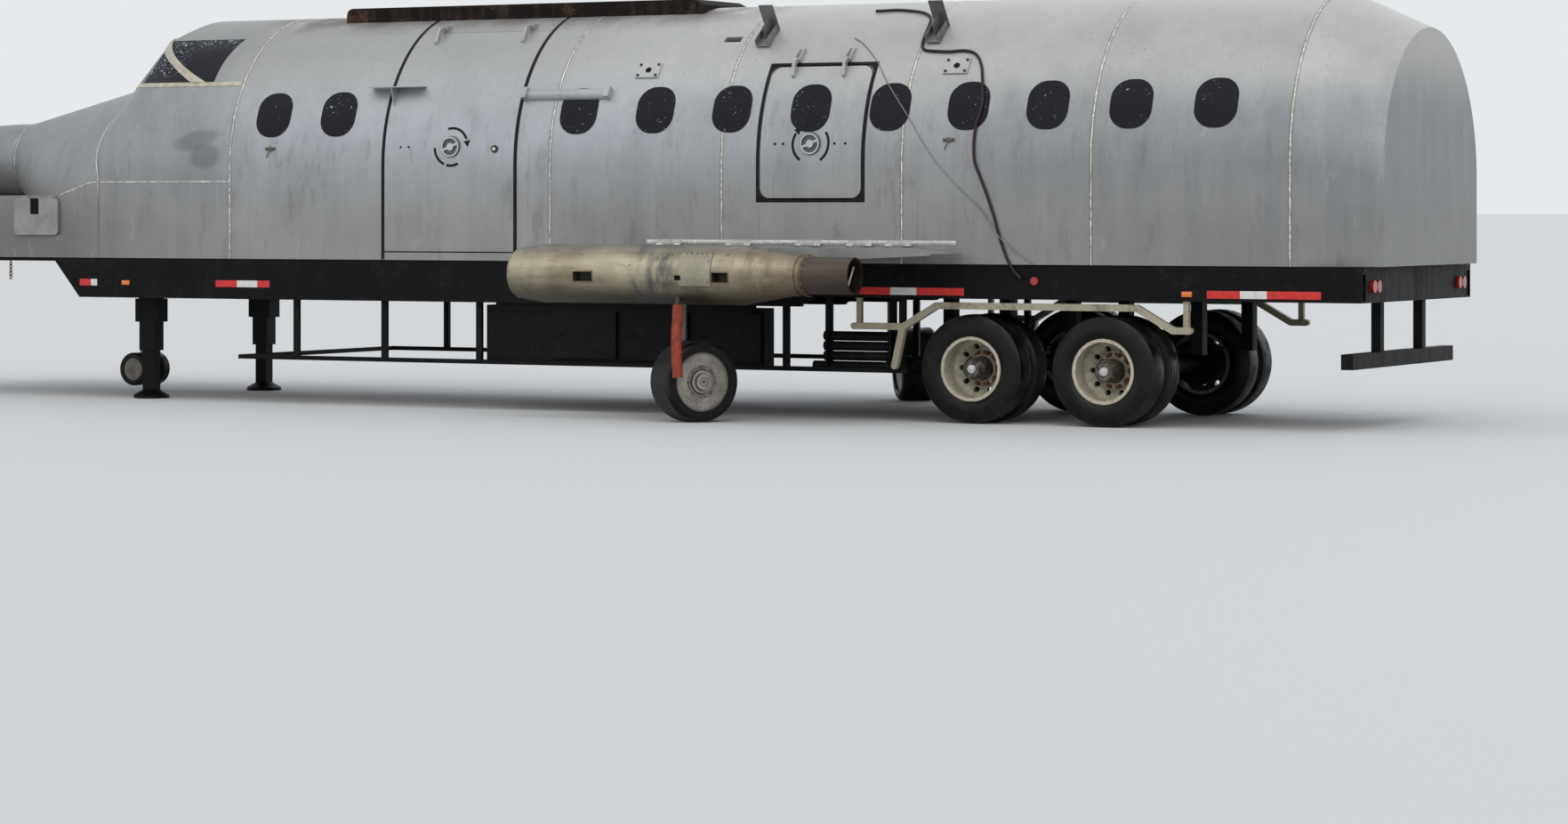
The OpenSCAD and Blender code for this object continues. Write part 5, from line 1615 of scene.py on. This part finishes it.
@dataclass
class SideFittings:
    """Small fittings: latches, door lock, battery plate, root flashing, roof plates' bolts and chain."""

    latches: tuple[Pair, ...] = ((-2.288, 2.075), (3.735, 2.100))
    tube_half: float = 0.042
    tube_out: float = 0.007
    tube_r: float = 0.013
    boss_out: float = 0.016
    boss_r: float = 0.018
    lever_out: float = 0.013
    lever_reach: float = 0.034
    lever_z: Pair = (0.006, 0.072)
    lever_r: float = 0.0035
    lock: Pair = (-0.167, 2.06)
    lock_size: Pair = (0.016, 0.015)
    collar_size: Pair = (0.010, 0.030)
    hatch_x: Pair = (-4.689, -4.603)
    hatch_z: Pair = (1.540, 1.674)
    hatch_out: Pair = (0.0176, 0.0196)
    root_x: Pair = (1.20, 3.80)
    root_z: Pair = (1.318, 1.352)
    root_out: Pair = (-0.0005, 0.0030)
    plates: tuple[Pair, ...] = ((1.090, 2.660), (3.705, 2.650))
    plate_bolts: tuple[Pair, ...] = ((-0.078, -0.05), (0.078, -0.05), (-0.078, 0.05), (0.078, 0.05))
    bolt_size: Pair = (0.020, 0.012)
    hole_x: float = 0.004
    hole_size: Pair = (0.0155, 0.022)
    chain: Point = (-4.94, -1.235, 1.148)
    links: int = 5
    link_pitch: float = 0.029
    link_size: Pair = (0.012, 0.020)
    link_r: float = 0.0042

    def wall_latches(self) -> None:
        """Make the two latches on the wall, each a boss with a short tube and a lever."""
        form = Form()
        for x, z in self.latches:
            out = SKIN_SHAPE.spot(x, SKIN_SHAPE.up(z))
            y = out.y - self.tube_out
            form.rod((x - self.tube_half, y, z), (x + self.tube_half, y, z), self.tube_r, 12)
            form.rod(out, (out.x, out.y - self.boss_out, out.z + 0.001), self.boss_r)
            y = out.y - self.lever_out
            top, foot = self.lever_z
            form.rod((x, y, z - top), (x - self.lever_reach, y, z - foot), self.lever_r, 8)
        form.piece("skin_latches", DULL, "trailer", 30.0)

    def door_lock(self) -> None:
        """Make the big door's round lock in its dark collar."""
        x, y, z = SKIN_SHAPE.spot(self.lock[0], SKIN_SHAPE.up(self.lock[1]))
        for name, size, sides, finish in (("door_lock_collar", self.collar_size, 24, BOLT),
                                          ("door_lock", self.lock_size, 16, BRIGHT)):
            form = Form()
            form.rod((x, y, z), (x, y - size[0], z), size[1], sides)
            form.piece(name, finish, "big_door", 30.0)

    def flat_plates(self) -> None:
        """Make the black plate on the battery hatch and the flashing over the wings' roots."""
        half = SKIN_SHAPE.half
        plate, root = Form(), Form()
        plate.box((self.hatch_x[0], -half - self.hatch_out[1], self.hatch_z[0]),
                  (self.hatch_x[1], -half - self.hatch_out[0], self.hatch_z[1]))
        plate.piece("hatch_plate", BLACK, "battery_hatch", 30.0)
        root.box((self.root_x[0], -half - self.root_out[1], self.root_z[0]),
                 (self.root_x[1], -half - self.root_out[0], self.root_z[1]), 0.001)
        root.mirror()
        root.piece("root_flashing", BRIGHT, "trailer", 30.0)

    def stud(self, form: Form, x: float, along: float, size: Pair, sides: int) -> None:
        """Add a round stud that stands on the skin.

        Args:
            form: The form that it goes into.
            x, along: Its place along the body and its unrolled length.
            size: Its height and its radius.
            sides: Its faces round.
        """
        form.rod(SKIN_SHAPE.spot(x, along), SKIN_SHAPE.spot(x, along, size[0]), size[1], sides)

    def plate_fittings(self) -> None:
        """Make the bolts of the two plates on the shoulder, and in each plate's centre hole a black stud as its
        painted shade.
        """
        holes, bolts = Form(), Form()
        for x, z in self.plates:
            along = SKIN_SHAPE.up(z)
            # black stud in the centre hole: painted shade of the hole
            self.stud(holes, x + self.hole_x, along, self.hole_size, 20)
            for dx, dz in self.plate_bolts:
                self.stud(bolts, x + dx, along + dz, self.bolt_size, 6)
        bolts.piece("plate_bolts", BOLT, "trailer", 30.0)
        holes.piece("plate_holes", BLACK, "trailer", 30.0)

    def safety_chain(self) -> None:
        """Make the hanging chain, each link turned across the one over it."""
        form = Form()
        x, y, z = self.chain
        half, rise = self.link_size
        turns = [math.tau * k / 14 for k in range(15)]
        for index in range(self.links):
            across = Vector((1, 0, 0)) if index % 2 else Vector((0, 1, 0))
            middle = Vector((x, y, z - rise - self.link_pitch * index))
            route = [middle + across * (half * math.cos(t)) + Vector((0, 0, rise * math.sin(t))) for t in turns]
            for start, end in zip(route, route[1:]):
                form.rod(start, end, self.link_r, 8)
        form.piece("safety_chain", RUST, "trailer", 40.0)

    def build(self) -> None:
        """Make the fittings."""
        self.wall_latches()
        self.door_lock()
        self.flat_plates()
        self.plate_fittings()
        self.safety_chain()


@dataclass
class TrailerTrim:
    """Reflective tape and marker lamps on the trailer's side rails."""

    tape_z: float = 0.975
    tape_h: float = 0.055
    tape_thick: float = 0.0015
    rail_y: float = 1.255
    red: tuple[Pair, ...] = (
        (-4.205, -4.095), (-2.830, -2.620), (-2.420, -2.300), (3.001, 3.257), (3.471, 3.856), (5.75, 6.00),
        (6.20, 6.60))
    white: tuple[Pair, ...] = ((-4.091, -4.027), (-2.620, -2.420), (3.257, 3.471), (6.00, 6.20))
    lamps: tuple[float, ...] = (-3.73, 1.2, 5.6)
    lamp_size: Point = (0.08, 0.014, 0.04)
    lamp_bevel: float = 0.006

    def row(self, name: str, finish: Finish, spans: Sequence[Pair], thick: float, high: float,
            bevel: float = 0.0) -> None:
        """Make a row of thin boxes on both rails' outer faces.

        Args:
            name: Name of the piece.
            finish: Its finish.
            spans: Where each box starts and ends along the rail.
            thick: How far the boxes stand out.
            high: Their height.
            bevel: Width of the bevel along their edges.
        """
        form = Form()
        for start, end in spans:
            form.box((start, -self.rail_y - thick, self.tape_z - high / 2),
                     (end, -self.rail_y, self.tape_z + high / 2), bevel)
        form.mirror()
        form.piece(name, finish, "trailer")

    def build(self) -> None:
        """Make the tape of each colour and the lamps."""
        self.row("tape_red", RED_TAPE, self.red, self.tape_thick, self.tape_h)
        self.row("tape_white", WHITE_TAPE, self.white, self.tape_thick, self.tape_h)
        wide, thick, high = self.lamp_size
        spans = [(x - wide / 2, x + wide / 2) for x in self.lamps]
        self.row("marker_lamps", AMBER_LENS, spans, thick, high, self.lamp_bevel)


@dataclass
class Studio:
    """Camera, lamps, world and floor."""

    image: tuple[int, int] = (1763, 926)
    focal_px: float = 4618.8
    centre_px: Pair = (600.0, 233.0)
    place: Point = (16.285, -29.145, 1.6)
    heading: float = 30.0
    sensor: float = 36.0
    far: float = 3000.0
    floor: float = 900.0
    sky_light: tuple[Colour, float] = ((0.80, 0.86, 0.95, 1.0), 0.62)
    sky_seen: tuple[Colour, float] = ((0.80, 0.82, 0.84, 1.0), 1.0)
    floor_tint: Colour = (0.60, 0.60, 0.59, 1.0)
    lamps: tuple[tuple[str, Point, float, float], ...] = (
        ("key", (9.0, -15.0, 19.0), 1.5, 70.0), ("fill", (-16.0, -13.0, 9.0), 0.5, 80.0),
        ("back", (2.0, 18.0, 14.0), 0.5, 70.0))

    def camera(self) -> None:
        """Set the camera where the photograph was taken from."""
        lens = bpy.data.cameras.new("camera")
        lens.sensor_fit = "HORIZONTAL"
        lens.sensor_width = self.sensor
        wide, high = self.image
        lens.lens = self.sensor * self.focal_px / wide
        lens.shift_x = (wide / 2 - self.centre_px[0]) / wide
        lens.shift_y = -(high / 2 - self.centre_px[1]) / wide
        lens.clip_end = self.far
        made = bpy.data.objects.new("camera", lens)
        made.location = self.place
        made.rotation_euler = (math.radians(90), 0.0, math.radians(self.heading))
        bpy.context.scene.collection.objects.link(made)
        bpy.context.scene.camera = made

    def lamp(self, name: str, place: Point, strength: float, spread: float) -> None:
        """Add one broad far lamp.

        Args:
            name: Name of the lamp.
            place: Where it stands, seen from the middle of the object.
            strength: Its strength.
            spread: Angle in degrees that it fills, which makes its shadows soft.
        """
        data = bpy.data.lights.new(name, "SUN")
        data.energy = strength
        data.angle = math.radians(spread)
        made = bpy.data.objects.new(name, data)
        made.location = place
        made.rotation_euler = (-Vector(place)).to_track_quat("-Z", "Y").to_euler()
        bpy.context.scene.collection.objects.link(made)

    def world(self) -> None:
        """Make a pale world that camera, glossy and transmission rays see a little brighter."""
        world = bpy.data.worlds.new("studio")
        bpy.context.scene.world = world
        world.use_nodes = True
        tree = Tree(world.node_tree)
        rays = tree.node("ShaderNodeLightPath").outputs
        camera, glossy, through = (
            Value(tree, rays[f"Is {kind} Ray"]) for kind in ("Camera", "Glossy", "Transmission"))
        light, seen = (tree.node("ShaderNodeBackground", None, {"Color": tint, "Strength": strength}).outputs[0]
                       for tint, strength in (self.sky_light, self.sky_seen))
        mixed = tree.node("ShaderNodeMixShader", None, {0: camera.most(glossy.most(through)), 1: light, 2: seen})
        tree.node("ShaderNodeOutputWorld", None, {"Surface": mixed.outputs[0]})

    def ground(self) -> None:
        """Lay the pale floor."""
        mesh = bpy.data.meshes.new("floor")
        bm = bmesh.new()
        bmesh.ops.create_grid(bm, x_segments=1, y_segments=1, size=self.floor)
        bm.to_mesh(mesh)
        bm.free()
        made = bpy.data.objects.new("floor", mesh)
        bpy.context.scene.collection.objects.link(made)
        g = Graph("floor")
        g.set(Base_Color=self.floor_tint, Roughness=0.85)
        mesh.materials.append(g.material)

    def build(self) -> None:
        """Set up the whole studio."""
        self.camera()
        self.world()
        self.ground()
        for lamp in self.lamps:
            self.lamp(*lamp)
        bpy.context.scene.view_settings.view_transform = "Standard"


def gear_wheel(node: str) -> tuple[Point, float]:
    """Measure one gear wheel.

    Args:
        node: Its tyre's node.

    Returns:
        Its centre, with its distance from the middle as Y, and its radius.
    """
    low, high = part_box(node)
    middle = (low + high) / 2
    return (middle.x, abs(middle.y), middle.z), (high.z - low.z) / 2


def dress_frame() -> None:
    """Give every carried-over node its finish."""
    SKIN.dress("fore_shell", "door_shell", "middle_shell", "exit_shell", "aft_shells", "tail_shell")
    COCKPIT_SKIN.dress("cockpit_shell")
    NOSE_SKIN.dress("nose_cone", "nose_skirt")
    DOOR_SKIN.dress("big_door")
    EXIT_SKIN.dress("exit_left", "exit_right")
    SCOOP_SKIN.dress("roof_fittings")
    FLAT_STEEL.dress("hinge_brackets", "wing_left", "wing_right")
    BRIGHT.dress("wing_hinges")
    LID.dress("battery_hatch")
    HeatedSteel("heated_steel", "heat_steel").dress("nacelle_left", "nacelle_right")
    CHASSIS.dress("main_beams", "crossmembers", "side_rails", "deck", "coupler_plate", "landing_legs",
                  "belly_frame", "equipment_boxes", "pipe_rack", "suspension", "axle_front", "axle_rear",
                  "rear_bumper")
    BURNT.dress("roof_burner")
    FENDER_PAINT.dress("fenders")
    RED_LENS.dress("lamps")
    GEAR_PAINT.dress("gear_leg_left", "gear_leg_right", "nose_gear_leg", "nose_gear_discs")
    hub, _ = gear_wheel("gear_tyre_left")
    DiscPaint("disc_paint", "gear_steel", hub=hub, turn=GEAR_TURN).dress("gear_disc_left", "gear_disc_right")
    for name, turn in (("gear_tyre_left", GEAR_TURN), ("gear_tyre_right", GEAR_TURN), ("nose_gear_tyres", 0.0)):
        hub, radius = gear_wheel(name)
        Rubber(f"rubber_{name}", "tyre", hub=hub, turn=turn, bead=radius - 0.08, outer=radius).dress(name)


def main() -> None:
    """Build the studio and every sub-assembly, and report them."""
    Studio().build()
    FreeCords().build()
    dress_frame()
    for part in (Windows(), Seams(), DoorTrim(), RoadWheels(), CockpitGlass(), NoseWelds(), NacelleTrim(),
                 SideFittings(), TrailerTrim()):
        part.build()
        log.info("%s built", type(part).__name__)


if __name__ == "__main__":
    main()
